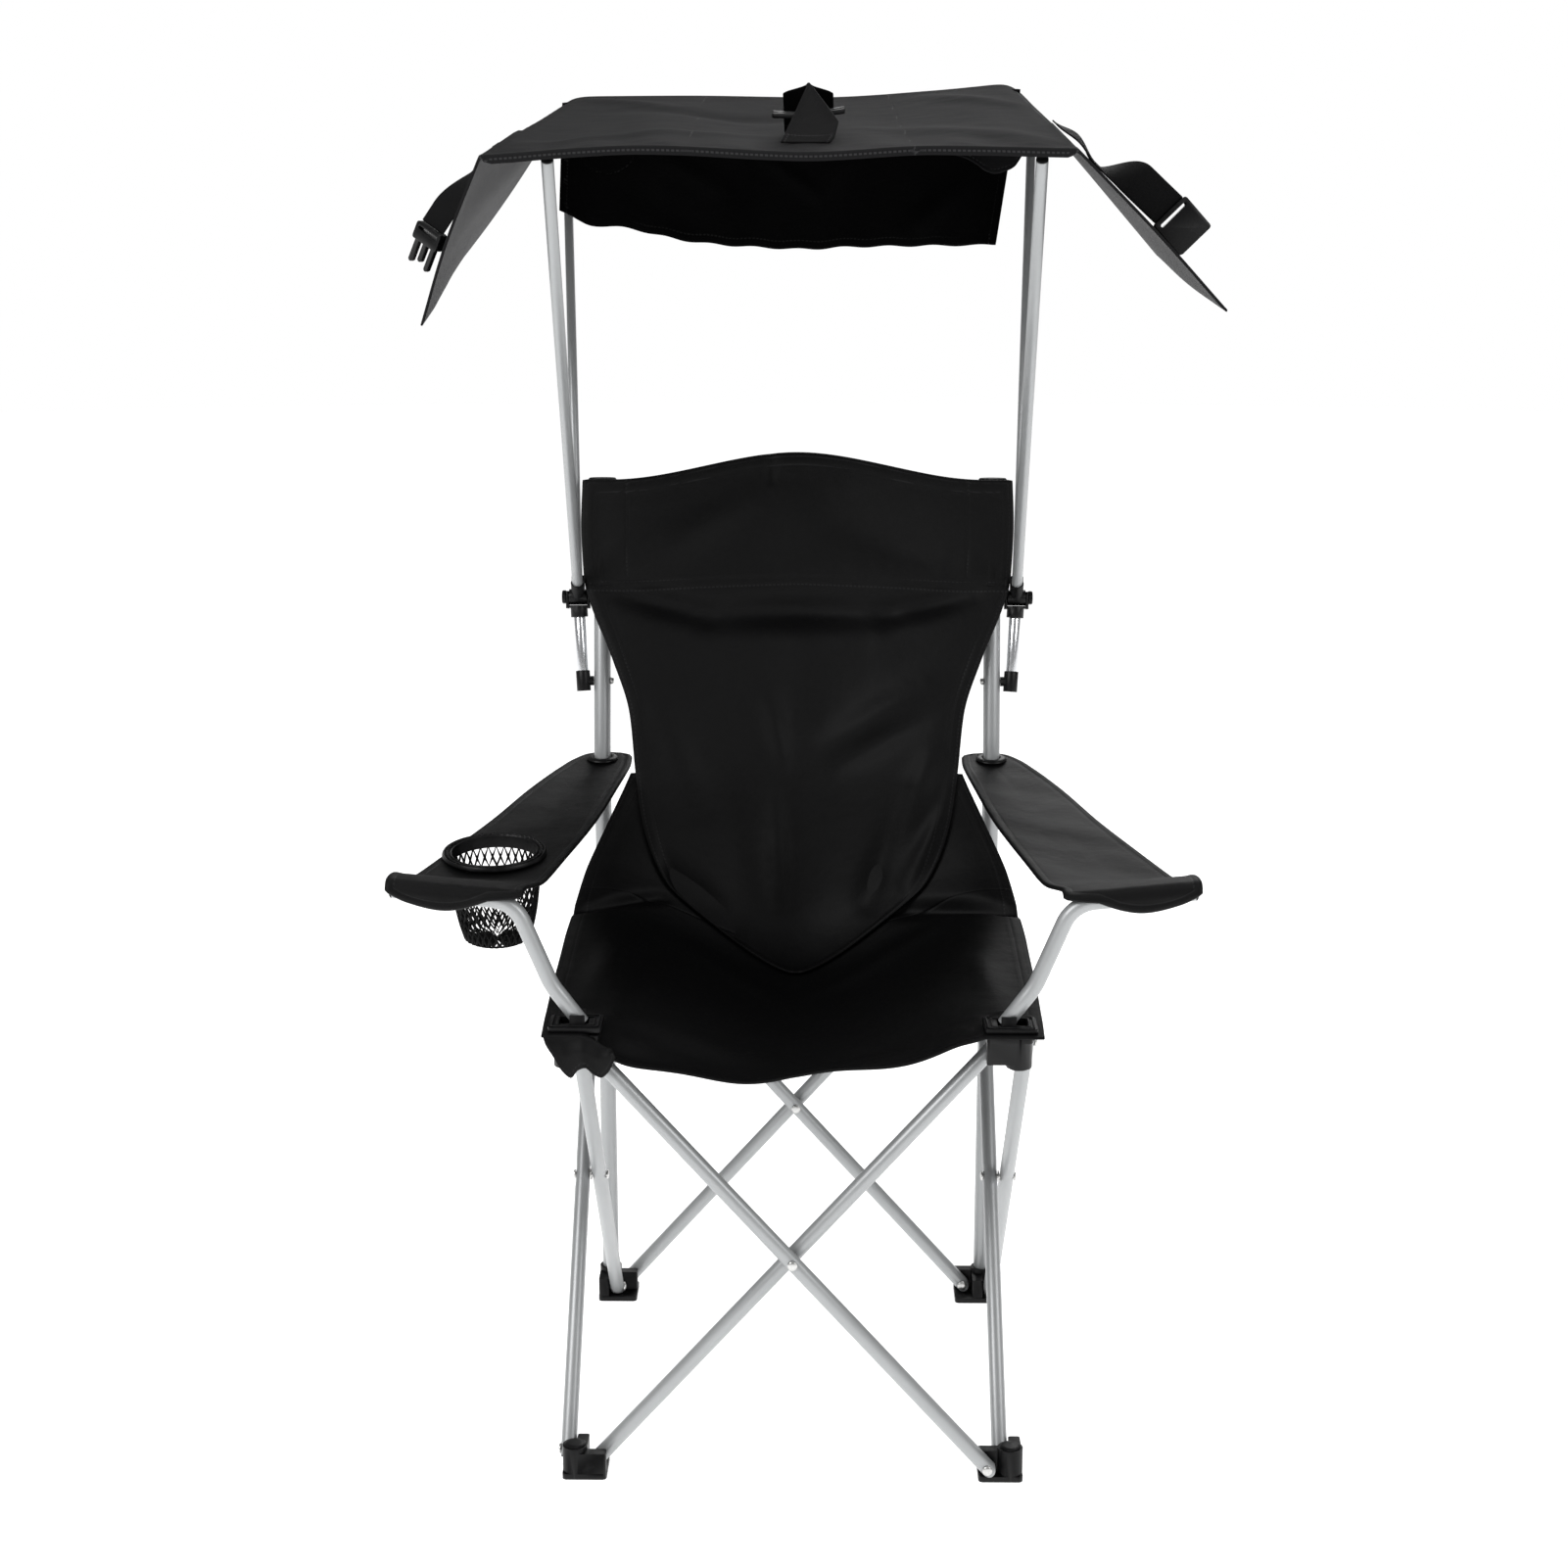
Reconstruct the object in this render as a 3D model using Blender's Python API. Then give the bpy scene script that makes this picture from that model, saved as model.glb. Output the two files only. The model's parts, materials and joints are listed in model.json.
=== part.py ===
"""Folding camp chair with arms, a mesh cup holder and a sun canopy on side poles.

Metres, +Z up. The chair faces -Y and +X is the sitter's left. Four scissor pairs of tubes
make a square box frame that folds to a bundle. Front, right, rear and left scissors follow
each other round the box like a pinwheel: every corner carries one tube on its outer side and
one on its inner side, so the four feet are one moulding and so are the four hubs.
The chair is drawn about the middle of its frame, and one empty then moves it so that the
middle of its bounding box stands over the origin. In the pieces' names, left is -X.
"""

import math

import bmesh
import bpy
from mathutils import Matrix, Vector

# Driving dimensions of the frame
PIN_HALF_SPAN = 0.197
CORNER_OFFSET = 0.024
CORNER = PIN_HALF_SPAN + CORNER_OFFSET
FOOT_PIN_Z = 0.0155
HUB_PIN_Z = 0.457
TUBE_RADIUS = 0.008
TUBE_WALL = 0.0012
TUBE_SPACING = 0.001
PLANE_OFFSET = TUBE_RADIUS + TUBE_SPACING
TUBE_END_EASE = 0.0005
TUBE_END_RADIUS = TUBE_RADIUS + TUBE_END_EASE
POST_RADIUS = 0.0095
POST_WALL = 0.0015
POST_BEND_Z = 0.66
POST_BEND_RADIUS = 0.12
POST_TOP_Z = 0.955
POST_LEAN = math.radians(11)
HALF_SHARE = 0.5
QUARTER_TURN = math.radians(90)

# Clearances
TOUCH_GAP = 0.0003
SLIDE_GAP = 0.0006
CLOTH_GAP = 0.0004
OVERRUN = 0.004
EDGE_EASE = 0.001

# Facets
TUBE_SIDES = 12
POST_SIDES = 16
HOLE_SIDES = 8
TURNED_SIDES = 12
CORNER_STEPS = 2
CORNER_SHARE = 0.3

PLASTIC = ((0.012, 0.012, 0.013), 0.42, 0.0)
PAINTED_STEEL = ((0.42, 0.43, 0.44), 0.35, 0.85)
BRIGHT_ALLOY = ((0.75, 0.76, 0.78), 0.2, 1.0)
ZINC_STEEL = ((0.6, 0.6, 0.6), 0.3, 1.0)
CLOTH = ((0.012, 0.012, 0.013), 0.85, 0.0)
CANOPY_CLOTH = ((0.03, 0.03, 0.032), 0.8, 0.0)
WEBBING = ((0.015, 0.015, 0.016), 0.9, 0.0)
NET = ((0.02, 0.02, 0.02), 0.8, 0.0)


# Scene and materials

def clear_scene():
    for old in list(bpy.data.objects):
        bpy.data.objects.remove(old, do_unlink=True)


def paint(obj, finish):
    colour, roughness, metallic = finish
    skin = bpy.data.materials.new(obj.name)
    skin.use_nodes = True
    shader = skin.node_tree.nodes["Principled BSDF"]
    shader.inputs["Base Color"].default_value = (*colour, 1.0)
    shader.inputs["Roughness"].default_value = roughness
    shader.inputs["Metallic"].default_value = metallic
    obj.data.materials.clear()
    obj.data.materials.append(skin)


# Mesh helpers: each returns a closed object whose faces point out

def from_bmesh(name, shape):
    bmesh.ops.recalc_face_normals(shape, faces=shape.faces)
    mesh = bpy.data.meshes.new(name)
    shape.to_mesh(mesh)
    shape.free()
    obj = bpy.data.objects.new(name, mesh)
    bpy.context.collection.objects.link(obj)
    return obj


def bridge(shape, ring, other):
    for i in range(len(ring)):
        j = (i + 1) % len(ring)
        shape.faces.new((ring[i], ring[j], other[j], other[i]))


def loft(name, rings, closed_path=False):
    """Skin over rings of points; the first and last are capped unless the path is closed."""
    shape = bmesh.new()
    rows = [[shape.verts.new(point) for point in ring] for ring in rings]
    for row, following in zip(rows, rows[1:]):
        bridge(shape, row, following)
    if closed_path:
        bridge(shape, rows[-1], rows[0])
    else:
        shape.faces.new(rows[0])
        shape.faces.new(rows[-1])
    return from_bmesh(name, shape)


def prism(name, outline, bottom, top, matrix=Matrix()):
    """Outline of (x, y) points, raised from bottom to top."""
    rings = [[matrix @ Vector((x, y, z)) for x, y in outline] for z in (bottom, top)]
    return loft(name, rings)


def rounded_outline(x0, x1, y0, y1, radius, steps=CORNER_STEPS):
    corners = [(x1 - radius, y1 - radius), (x0 + radius, y1 - radius),
               (x0 + radius, y0 + radius), (x1 - radius, y0 + radius)]
    outline = []
    for quarter, (x, y) in enumerate(corners):
        for step in range(steps + 1):
            angle = QUARTER_TURN * (quarter + step / steps)
            outline.append((x + radius * math.cos(angle), y + radius * math.sin(angle)))
    return outline


def axis_frame(origin, direction):
    """Matrix that carries +Z to the direction and the origin to the given point."""
    turn = Vector((0, 0, 1)).rotation_difference(Vector(direction)).to_matrix().to_4x4()
    return Matrix.Translation(origin) @ turn


def turned(profile, origin, direction, sides=TURNED_SIDES):
    """Solid of revolution: profile of (radius, height) from the axis out and back to it."""
    frame = axis_frame(origin, direction)
    rings = []
    for radius, height in profile:
        ring = []
        for i in range(sides):
            angle = 4 * QUARTER_TURN * i / sides
            ring.append(frame @ Vector((radius * math.cos(angle), radius * math.sin(angle), height)))
        rings.append(ring)
    return rings


def turned_solid(name, profile, origin, direction, sides=TURNED_SIDES):
    return loft(name, turned(profile, origin, direction, sides))


def turned_ring(name, profile, origin, direction, sides=TURNED_SIDES):
    """Like turned_solid, but the profile is a closed loop that stays clear of the axis."""
    return loft(name, turned(profile, origin, direction, sides), closed_path=True)


def rod(name, start, end, radius, sides=HOLE_SIDES):
    reach = Vector(end) - Vector(start)
    return turned_solid(name, [(radius, 0), (radius, reach.length)], start, reach, sides)


def path_frames(points):
    """Frames along a path, each turned as little as possible from the one before."""
    frames = []
    side = None
    for i, point in enumerate(points):
        before = points[max(i - 1, 0)]
        after = points[min(i + 1, len(points) - 1)]
        along = (after - before).normalized()
        if side is None:
            side = axis_frame(point, along).to_3x3() @ Vector((1, 0, 0))
        side = (side - along * side.dot(along)).normalized()
        frames.append((point, side, along.cross(side)))
    return frames


def pipe(name, points, radius, bore, sides=TUBE_SIDES):
    """Open-ended pipe swept along a path."""
    outer = []
    inner = []
    for point, side, up in path_frames(points):
        spokes = [side * math.cos(4 * QUARTER_TURN * i / sides) + up * math.sin(4 * QUARTER_TURN * i / sides)
                  for i in range(sides)]
        outer.append([point + spoke * radius for spoke in spokes])
        inner.append([point + spoke * bore for spoke in spokes])
    return loft(name, outer + inner[::-1], closed_path=True)


def filleted(points, radii, steps=5):
    """Path through points whose inner corners are rounded to the given radii."""
    points = [Vector(point) for point in points]
    path = [points[0]]
    for before, corner, after, radius in zip(points, points[1:], points[2:], radii):
        into = (corner - before).normalized()
        out = (after - corner).normalized()
        turn = into.angle(out)
        reach = radius * math.tan(turn * HALF_SHARE)
        start = corner - into * reach
        centre_way = (out - into).normalized()
        centre = corner + centre_way * (radius / math.cos(turn * HALF_SHARE))
        normal = into.cross(out).normalized()
        for step in range(steps + 1):
            path.append(centre + Matrix.Rotation(turn * step / steps, 3, normal) @ (start - centre))
    path.append(points[-1])
    return path


def sheet(name, point_at, across, along, thickness):
    """Cloth of even thickness over a grid of points, (across + 1) by (along + 1)."""
    grid = [[Vector(point_at(i / across, j / along)) for i in range(across + 1)] for j in range(along + 1)]
    shape = bmesh.new()
    layers = ([], [])
    for j in range(along + 1):
        rows = ([], [])
        for i in range(across + 1):
            step_across = grid[j][min(i + 1, across)] - grid[j][max(i - 1, 0)]
            step_along = grid[min(j + 1, along)][i] - grid[max(j - 1, 0)][i]
            normal = step_across.cross(step_along).normalized()
            rows[0].append(shape.verts.new(grid[j][i] + normal * thickness * HALF_SHARE))
            rows[1].append(shape.verts.new(grid[j][i] - normal * thickness * HALF_SHARE))
        layers[0].append(rows[0])
        layers[1].append(rows[1])
    top, bottom = layers
    for j in range(along):
        for i in range(across):
            shape.faces.new((top[j][i], top[j][i + 1], top[j + 1][i + 1], top[j + 1][i]))
            shape.faces.new((bottom[j][i], bottom[j + 1][i], bottom[j + 1][i + 1], bottom[j][i + 1]))
    rim = [(0, i) for i in range(across)] + [(j, across) for j in range(along)]
    rim += [(along, i) for i in range(across, 0, -1)] + [(j, 0) for j in range(along, 0, -1)]
    for (j, i), (n, m) in zip(rim, rim[1:] + rim[:1]):
        shape.faces.new((top[j][i], bottom[j][i], bottom[n][m], top[n][m]))
    return from_bmesh(name, shape)


def combined(name, base, joins=(), cuts=()):
    """Base with the joins added and the cuts taken away, as one plain mesh."""
    for operation, others in (("UNION", joins), ("DIFFERENCE", cuts)):
        for other in others:
            boolean = base.modifiers.new(operation, "BOOLEAN")
            boolean.operation = operation
            boolean.object = other
            boolean.solver = "EXACT"
    bpy.context.view_layer.update()
    evaluated = base.evaluated_get(bpy.context.evaluated_depsgraph_get())
    mesh = bpy.data.meshes.new_from_object(evaluated)
    for used in (base, *joins, *cuts):
        bpy.data.objects.remove(used, do_unlink=True)
    mesh.name = name
    obj = bpy.data.objects.new(name, mesh)
    bpy.context.collection.objects.link(obj)
    return obj


SHARP_ANGLE = math.radians(35)


def finished(obj, name, finish, origin=(0, 0, 0)):
    """Names a piece, puts its origin on its joint or seat, shades and paints it."""
    obj.name = name
    obj.data.transform(obj.matrix_world)
    obj.matrix_world = Matrix()
    origin = Vector(origin)
    obj.data.transform(Matrix.Translation(-origin))
    obj.location = origin
    obj.data.shade_smooth()
    obj.data.set_sharp_from_angle(angle=SHARP_ANGLE)
    paint(obj, finish)
    return obj


# Corner mouldings: the foot, and the same moulding turned over as the hub

BLOCK_REACH_IN = 0.0325
BLOCK_REACH_OUT = 0.0125
BLOCK_CORNER_RADIUS = 0.004
BASE_THICKNESS = 0.006
WALL_HEIGHT = 0.028
SOCKET_HEIGHT = 0.033
SOCKET_WALL = 0.003
SOCKET_RADIUS = POST_RADIUS + TOUCH_GAP + SOCKET_WALL
WALL_INSET = 0.0005
WALL_CORNER_RADIUS = 0.002
SOCKET_BORE_RADIUS = POST_RADIUS + TOUCH_GAP
SLIDER_BORE_RADIUS = POST_RADIUS + SLIDE_GAP
PIN_RADIUS = 0.0025
PIN_HEAD_RADIUS = 0.0046
PIN_HEAD_HEIGHT = 0.002
PIN_ROOT = 0.005
PIN_CLEARANCE = 0.0004
CORNERS = {"front_right": 0, "rear_right": 1, "rear_left": 2, "front_left": 3}


def corner_frame(corner):
    """Frame of a corner: its origin is under the post, -x and +y run along the two walls."""
    turn = Matrix.Rotation(QUARTER_TURN * CORNERS[corner], 4, "Z")
    return turn @ Matrix.Translation((CORNER, -CORNER, 0))


def turned_over():
    """Carries a foot to the hub above it, with its pins at the hub's height."""
    swap = Matrix(((0, -1, 0, 0), (-1, 0, 0, 0), (0, 0, -1, 0), (0, 0, 0, 1)))
    return Matrix.Translation((0, 0, FOOT_PIN_Z + HUB_PIN_Z)) @ swap


def corner_pin(name, foot, direction):
    """Rivet that holds a tube end against a wall, from inside the wall to its head."""
    far_side = PLANE_OFFSET + TUBE_RADIUS + TOUCH_GAP
    profile = [(PIN_RADIUS, -PIN_ROOT), (PIN_RADIUS, far_side), (PIN_HEAD_RADIUS, far_side),
               (PIN_HEAD_RADIUS, far_side + PIN_HEAD_HEIGHT * HALF_SHARE),
               (PIN_HEAD_RADIUS * HALF_SHARE, far_side + PIN_HEAD_HEIGHT)]
    return turned_solid(name, profile, foot, direction, HOLE_SIDES)


def corner_block(bore_radius, bore_floor):
    base = prism("base", rounded_outline(-BLOCK_REACH_IN, BLOCK_REACH_OUT, -BLOCK_REACH_OUT,
                                         BLOCK_REACH_IN, BLOCK_CORNER_RADIUS), 0, BASE_THICKNESS)
    far = BLOCK_REACH_IN - WALL_INSET
    near = BLOCK_REACH_OUT - WALL_INSET
    inner_wall = prism("inner_wall", rounded_outline(-far, 0, 0, near, WALL_CORNER_RADIUS),
                       WALL_INSET, WALL_HEIGHT)
    outer_wall = prism("outer_wall", rounded_outline(0, near, 0, far, WALL_CORNER_RADIUS),
                       WALL_INSET, WALL_HEIGHT)
    socket = rod("socket", (0, 0, WALL_INSET), (0, 0, SOCKET_HEIGHT), SOCKET_RADIUS, POST_SIDES)
    pin_z = FOOT_PIN_Z
    outer_pin = corner_pin("outer_pin", (-CORNER_OFFSET, 0, pin_z), (0, -1, 0))
    inner_pin = corner_pin("inner_pin", (0, CORNER_OFFSET, pin_z), (-1, 0, 0))
    bore = rod("bore", (0, 0, bore_floor), (0, 0, SOCKET_HEIGHT + OVERRUN), bore_radius, POST_SIDES)
    return combined("block", base, (inner_wall, outer_wall, socket, outer_pin, inner_pin), (bore,))


def make_feet():
    for corner in CORNERS:
        foot = corner_block(SOCKET_BORE_RADIUS, BASE_THICKNESS)
        foot.data.transform(corner_frame(corner))
        finished(foot, corner + "_foot", PLASTIC, corner_frame(corner).translation)


def make_sliders():
    """The rear hubs slide up the back posts when the chair folds."""
    for corner in ("rear_left", "rear_right"):
        slider = corner_block(SLIDER_BORE_RADIUS, -OVERRUN)
        place = corner_frame(corner) @ turned_over()
        slider.data.transform(place)
        finished(slider, corner + "_slider", PLASTIC, place.translation)


# Front hubs carry the arm posts in a fork that stands up through the seat cloth

HUB_TOP_Z = HUB_PIN_Z + FOOT_PIN_Z
FORK_CENTRE = CORNER - 0.0105
FORK_PIVOT_RISE = 0.0105
FORK_PIVOT_Z = HUB_TOP_Z + FORK_PIVOT_RISE
FORK_CHEEK_THICKNESS = 0.003
FORK_CHEEK_HALF_WIDTH = 0.0075
FORK_CHEEK_TOP = 0.0065
FORK_PIN_RADIUS = 0.0022
FORK_HALF_GAP = TUBE_RADIUS + SLIDE_GAP


def side_of(corner):
    """+1 on the +X side of the chair, -1 on the other."""
    return 1 if corner.endswith("right") else -1


def make_front_hubs():
    for corner in ("front_left", "front_right"):
        side = side_of(corner)
        hub = corner_block(SOCKET_BORE_RADIUS, BASE_THICKNESS)
        hub.data.transform(corner_frame(corner) @ turned_over())
        x = side * FORK_CENTRE
        y = -FORK_CENTRE
        cheeks = []
        for way in (-1, 1):
            near = y + way * FORK_HALF_GAP
            far = near + way * FORK_CHEEK_THICKNESS
            outline = rounded_outline(x - FORK_CHEEK_HALF_WIDTH, x + FORK_CHEEK_HALF_WIDTH,
                                      min(near, far), max(near, far), FORK_CHEEK_THICKNESS * CORNER_SHARE, 1)
            cheeks.append(prism("cheek", outline, HUB_TOP_Z - BASE_THICKNESS * HALF_SHARE,
                                FORK_PIVOT_Z + FORK_CHEEK_TOP))
        reach = FORK_HALF_GAP + FORK_CHEEK_THICKNESS * HALF_SHARE
        pin = rod("pin", (x, y - reach, FORK_PIVOT_Z), (x, y + reach, FORK_PIVOT_Z), FORK_PIN_RADIUS)
        hub = combined("hub", hub, (*cheeks, pin))
        finished(hub, corner + "_hub", PLASTIC, (x, y, HUB_PIN_Z))


# Scissor tubes and their middle rivets

def scissor_tube(name, foot_pin, hub_pin, pin_axis):
    """Straight tube with round ends about its pins, cross-drilled there and at its middle."""
    start = Vector(foot_pin)
    end = Vector(hub_pin)
    along = (end - start).normalized()
    axis = Vector(pin_axis)
    across = axis.cross(along)
    rings = []
    for radius, order in ((TUBE_RADIUS, (-1, 1)), (TUBE_RADIUS - TUBE_WALL, (1, -1))):
        for way in order:
            centre = start if way < 0 else end
            ring = []
            for i in range(TUBE_SIDES):
                angle = 4 * QUARTER_TURN * i / TUBE_SIDES
                offset = radius * math.cos(angle)
                reach = math.sqrt(TUBE_END_RADIUS ** 2 - offset ** 2)
                ring.append(centre + across * offset + axis * radius * math.sin(angle) + along * way * reach)
            rings.append(ring)
    tube = loft(name, rings, closed_path=True)
    drills = []
    for place in (start, (start + end) * HALF_SHARE, end):
        reach = axis * (TUBE_RADIUS + OVERRUN)
        drills.append(rod("drill", place - reach, place + reach, PIN_RADIUS + PIN_CLEARANCE))
    tube = combined(name, tube, (), drills)
    return finished(tube, name, PAINTED_STEEL, start)


def make_scissors():
    near = CORNER - PLANE_OFFSET
    far = CORNER + PLANE_OFFSET
    span = PIN_HALF_SPAN
    low = FOOT_PIN_Z
    high = HUB_PIN_Z
    front_axis = (0, 1, 0)
    side_axis = (1, 0, 0)
    scissor_tube("front_outer_tube", (span, -far, low), (-span, -far, high), front_axis)
    scissor_tube("front_inner_tube", (-span, -near, low), (span, -near, high), front_axis)
    scissor_tube("rear_outer_tube", (-span, far, low), (span, far, high), front_axis)
    scissor_tube("rear_inner_tube", (span, near, low), (-span, near, high), front_axis)
    scissor_tube("right_inner_tube", (near, -span, low), (near, span, high), side_axis)
    scissor_tube("right_outer_tube", (far, span, low), (far, -span, high), side_axis)
    scissor_tube("left_outer_tube", (-far, -span, low), (-far, span, high), side_axis)
    scissor_tube("left_inner_tube", (-near, span, low), (-near, -span, high), side_axis)


RIVET_HEAD_RADIUS = 0.005
RIVET_HEAD_HEIGHT = 0.0022
WASHER_RADIUS = 0.0065


def middle_rivet(name, centre, axis):
    """Rivet through both tubes of a scissor, with a washer between them."""
    head = PLANE_OFFSET + TUBE_RADIUS + TOUCH_GAP
    washer = PLANE_OFFSET - TUBE_RADIUS - TOUCH_GAP
    dome = RIVET_HEAD_HEIGHT
    half = [(PIN_RADIUS, washer), (PIN_RADIUS, head), (RIVET_HEAD_RADIUS, head),
            (RIVET_HEAD_RADIUS, head + dome * HALF_SHARE), (RIVET_HEAD_RADIUS * HALF_SHARE, head + dome)]
    profile = [(radius, -height) for radius, height in half[::-1]]
    profile += [(WASHER_RADIUS, -washer), (WASHER_RADIUS, washer)] + half
    finished(turned_solid(name, profile, centre, axis, HOLE_SIDES), name, ZINC_STEEL, centre)


def make_rivets():
    middle = (FOOT_PIN_Z + HUB_PIN_Z) * HALF_SHARE
    middle_rivet("front_rivet", (0, -CORNER, middle), (0, 1, 0))
    middle_rivet("rear_rivet", (0, CORNER, middle), (0, 1, 0))
    middle_rivet("left_rivet", (-CORNER, 0, middle), (1, 0, 0))
    middle_rivet("right_rivet", (CORNER, 0, middle), (1, 0, 0))


# Back posts, which lean back above the arms, and their caps

def post_y(z):
    """Depth of a back post's centre line above its bend."""
    return CORNER + (z - POST_BEND_Z) * math.tan(POST_LEAN)


BRACKET_Z = 0.738
YOKE_AXIS_UP = 0.0950
CHEEK_ABOVE_AXIS = 0.0065
BOLT_RADIUS = 0.002
BOLT_CLEARANCE = 0.0004
CAP_RIM = 0.004
CAP_PLUG_DEPTH = 0.012


def make_back_posts():
    lean = Vector((0, math.sin(POST_LEAN), math.cos(POST_LEAN)))
    for name, side in (("left", -1), ("right", 1)):
        foot = Vector((side * CORNER, CORNER, BASE_THICKNESS + TOUCH_GAP))
        bend = (side * CORNER, CORNER, POST_BEND_Z)
        top = Vector((side * CORNER, post_y(POST_TOP_Z), POST_TOP_Z))
        post = pipe("post", filleted([foot, bend, top], [POST_BEND_RADIUS]), POST_RADIUS,
                    POST_RADIUS - POST_WALL, POST_SIDES)
        bolt_y = post_y(BRACKET_Z)
        reach = POST_RADIUS + OVERRUN
        drill = rod("drill", (side * CORNER - reach, bolt_y, BRACKET_Z),
                    (side * CORNER + reach, bolt_y, BRACKET_Z), BOLT_RADIUS + BOLT_CLEARANCE)
        post = combined("post", post, (), (drill,))
        finished(post, name + "_back_post", PAINTED_STEEL, foot)
        plug = POST_RADIUS - POST_WALL - TOUCH_GAP * 2
        profile = [(plug, -CAP_PLUG_DEPTH), (plug, TOUCH_GAP), (POST_RADIUS, TOUCH_GAP),
                   (POST_RADIUS, CAP_RIM * HALF_SHARE), (POST_RADIUS * HALF_SHARE, CAP_RIM)]
        finished(turned_solid("cap", profile, top, lean), name + "_post_cap", PLASTIC, top)


# Arm posts: bent tubes that swing on the front hubs' forks

ARM_POST_KNEE = (0.0255, 0.0345)
ARM_POST_BEND = (0.060, 0.118)
ARM_POST_TIP = (0.1775, 0.1295)
ARM_POST_RADII = (0.07, 0.036)
ARM_POST_FOOT = 0.0060


def arm_post_point(side, offset):
    out, up = offset
    return Vector((side * (FORK_CENTRE + out), -FORK_CENTRE, FORK_PIVOT_Z + up))


def make_arm_posts():
    for name, side in (("left", -1), ("right", 1)):
        pivot = arm_post_point(side, (0, 0))
        knee = arm_post_point(side, ARM_POST_KNEE)
        foot = pivot - (knee - pivot).normalized() * ARM_POST_FOOT
        path = filleted([foot, knee, arm_post_point(side, ARM_POST_BEND),
                         arm_post_point(side, ARM_POST_TIP)], ARM_POST_RADII, 5)
        post = pipe("arm_post", path, TUBE_RADIUS, TUBE_RADIUS - TUBE_WALL)
        reach = Vector((0, TUBE_RADIUS + OVERRUN, 0))
        drill = rod("drill", pivot - reach, pivot + reach, FORK_PIN_RADIUS + PIN_CLEARANCE)
        post = combined("arm_post", post, (), (drill,))
        finished(post, name + "_arm_post", PAINTED_STEEL, pivot)


# Seat corner plates: plastic frames that clamp the seat cloth onto the front hubs

CLOTH_THICKNESS = 0.002
SEAT_CORNER_Z = HUB_TOP_Z + CLOTH_GAP + CLOTH_THICKNESS * HALF_SHARE
PLATE_BOTTOM_Z = SEAT_CORNER_Z + CLOTH_THICKNESS * HALF_SHARE + CLOTH_GAP
PLATE_THICKNESS = 0.005
PLATE_REACH_IN = 0.024
PLATE_REACH_OUT = 0.028
PLATE_HALF_DEPTH = 0.021
WINDOW_REACH_IN = 0.0105
WINDOW_REACH_OUT = 0.0185
WINDOW_HALF_DEPTH = FORK_HALF_GAP + FORK_CHEEK_THICKNESS + 0.0012


def window_outline(side):
    """Opening round the fork, as (x0, x1, y0, y1)."""
    inner = side * (FORK_CENTRE - WINDOW_REACH_IN)
    outer = side * (FORK_CENTRE + WINDOW_REACH_OUT)
    depth = WINDOW_HALF_DEPTH
    return min(inner, outer), max(inner, outer), -FORK_CENTRE - depth, -FORK_CENTRE + depth


def make_corner_plates():
    for name, side in (("left", -1), ("right", 1)):
        inner = side * (FORK_CENTRE - PLATE_REACH_IN)
        outer = side * (FORK_CENTRE + PLATE_REACH_OUT)
        outline = rounded_outline(min(inner, outer), max(inner, outer), -FORK_CENTRE - PLATE_HALF_DEPTH,
                                  -FORK_CENTRE + PLATE_HALF_DEPTH, BLOCK_CORNER_RADIUS)
        plate = prism("plate", outline, PLATE_BOTTOM_Z, PLATE_BOTTOM_Z + PLATE_THICKNESS)
        window = prism("window", rounded_outline(*window_outline(side), PIN_RADIUS, 2),
                       PLATE_BOTTOM_Z - OVERRUN, PLATE_BOTTOM_Z + PLATE_THICKNESS + OVERRUN)
        plate = combined("plate", plate, (), (window,))
        finished(plate, name + "_seat_plate", PLASTIC, (side * FORK_CENTRE, -FORK_CENTRE, PLATE_BOTTOM_Z))


# Sling body: one sagging surface that the seat and the back both follow

# Stations from the seat's front hem up to the top of the back. Each has the centre line's depth and
# height, the side line's depth and height, and how far in from the corner line the sag ends. The
# front ones are measured back from the front corners and up from the seat's clamped corners, and the
# rear ones forward from the posts' centre line and down from the posts' tops.
FRONT_STATIONS = (
    (-0.0175, -0.0399, -0.0175, 0.0000, 0.0350),
    (0.0510, -0.0469, 0.0510, 0.0000, 0.0350),
    (0.1510, -0.0529, 0.1510, 0.0061, 0.0210),
    (0.2510, -0.0579, 0.2510, 0.0161, 0.0060),
)
REAR_STATIONS = (
    (0.1010, 0.5310, 0.1150, 0.4490, 0.0010),
    (0.0430, 0.4850, 0.0750, 0.4190, 0.0010),
    (0.0150, 0.3950, 0.0450, 0.3700, 0.0160),
    (0.0030, 0.3150, 0.0310, 0.3150, 0.0360),
    (-0.0041, 0.2450, 0.0259, 0.2490, 0.0360),
    (-0.0088, 0.1850, 0.0232, 0.1910, 0.0160),
    (-0.0099, 0.1330, 0.0156, 0.1350, 0.0090),
    (-0.0108, 0.1050, 0.0116, 0.1090, 0.0110),
    (-0.0132, 0.0300, 0.0116, 0.0390, 0.0110),
    (-0.0144, -0.0350, 0.0116, -0.0065, 0.0110),
)
SEAT_OVERHANGS = (0.0220, 0.0250, 0.0270, 0.0270, 0.0230, 0.0140, -0.0090, -0.0350)
BACK_WIDTH_SHARES = (0.0362, 0.6561, 0.7783, 0.8145, 0.8462, 0.9321, 1.0407,
                     1.0792, 1.0973, 1.0905)
BACK_LIFT = 0.005
STATION_STEP_SHARE = 0.01
SEAT_LAST = len(SEAT_OVERHANGS) - 1
BACK_START = len(FRONT_STATIONS)


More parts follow.
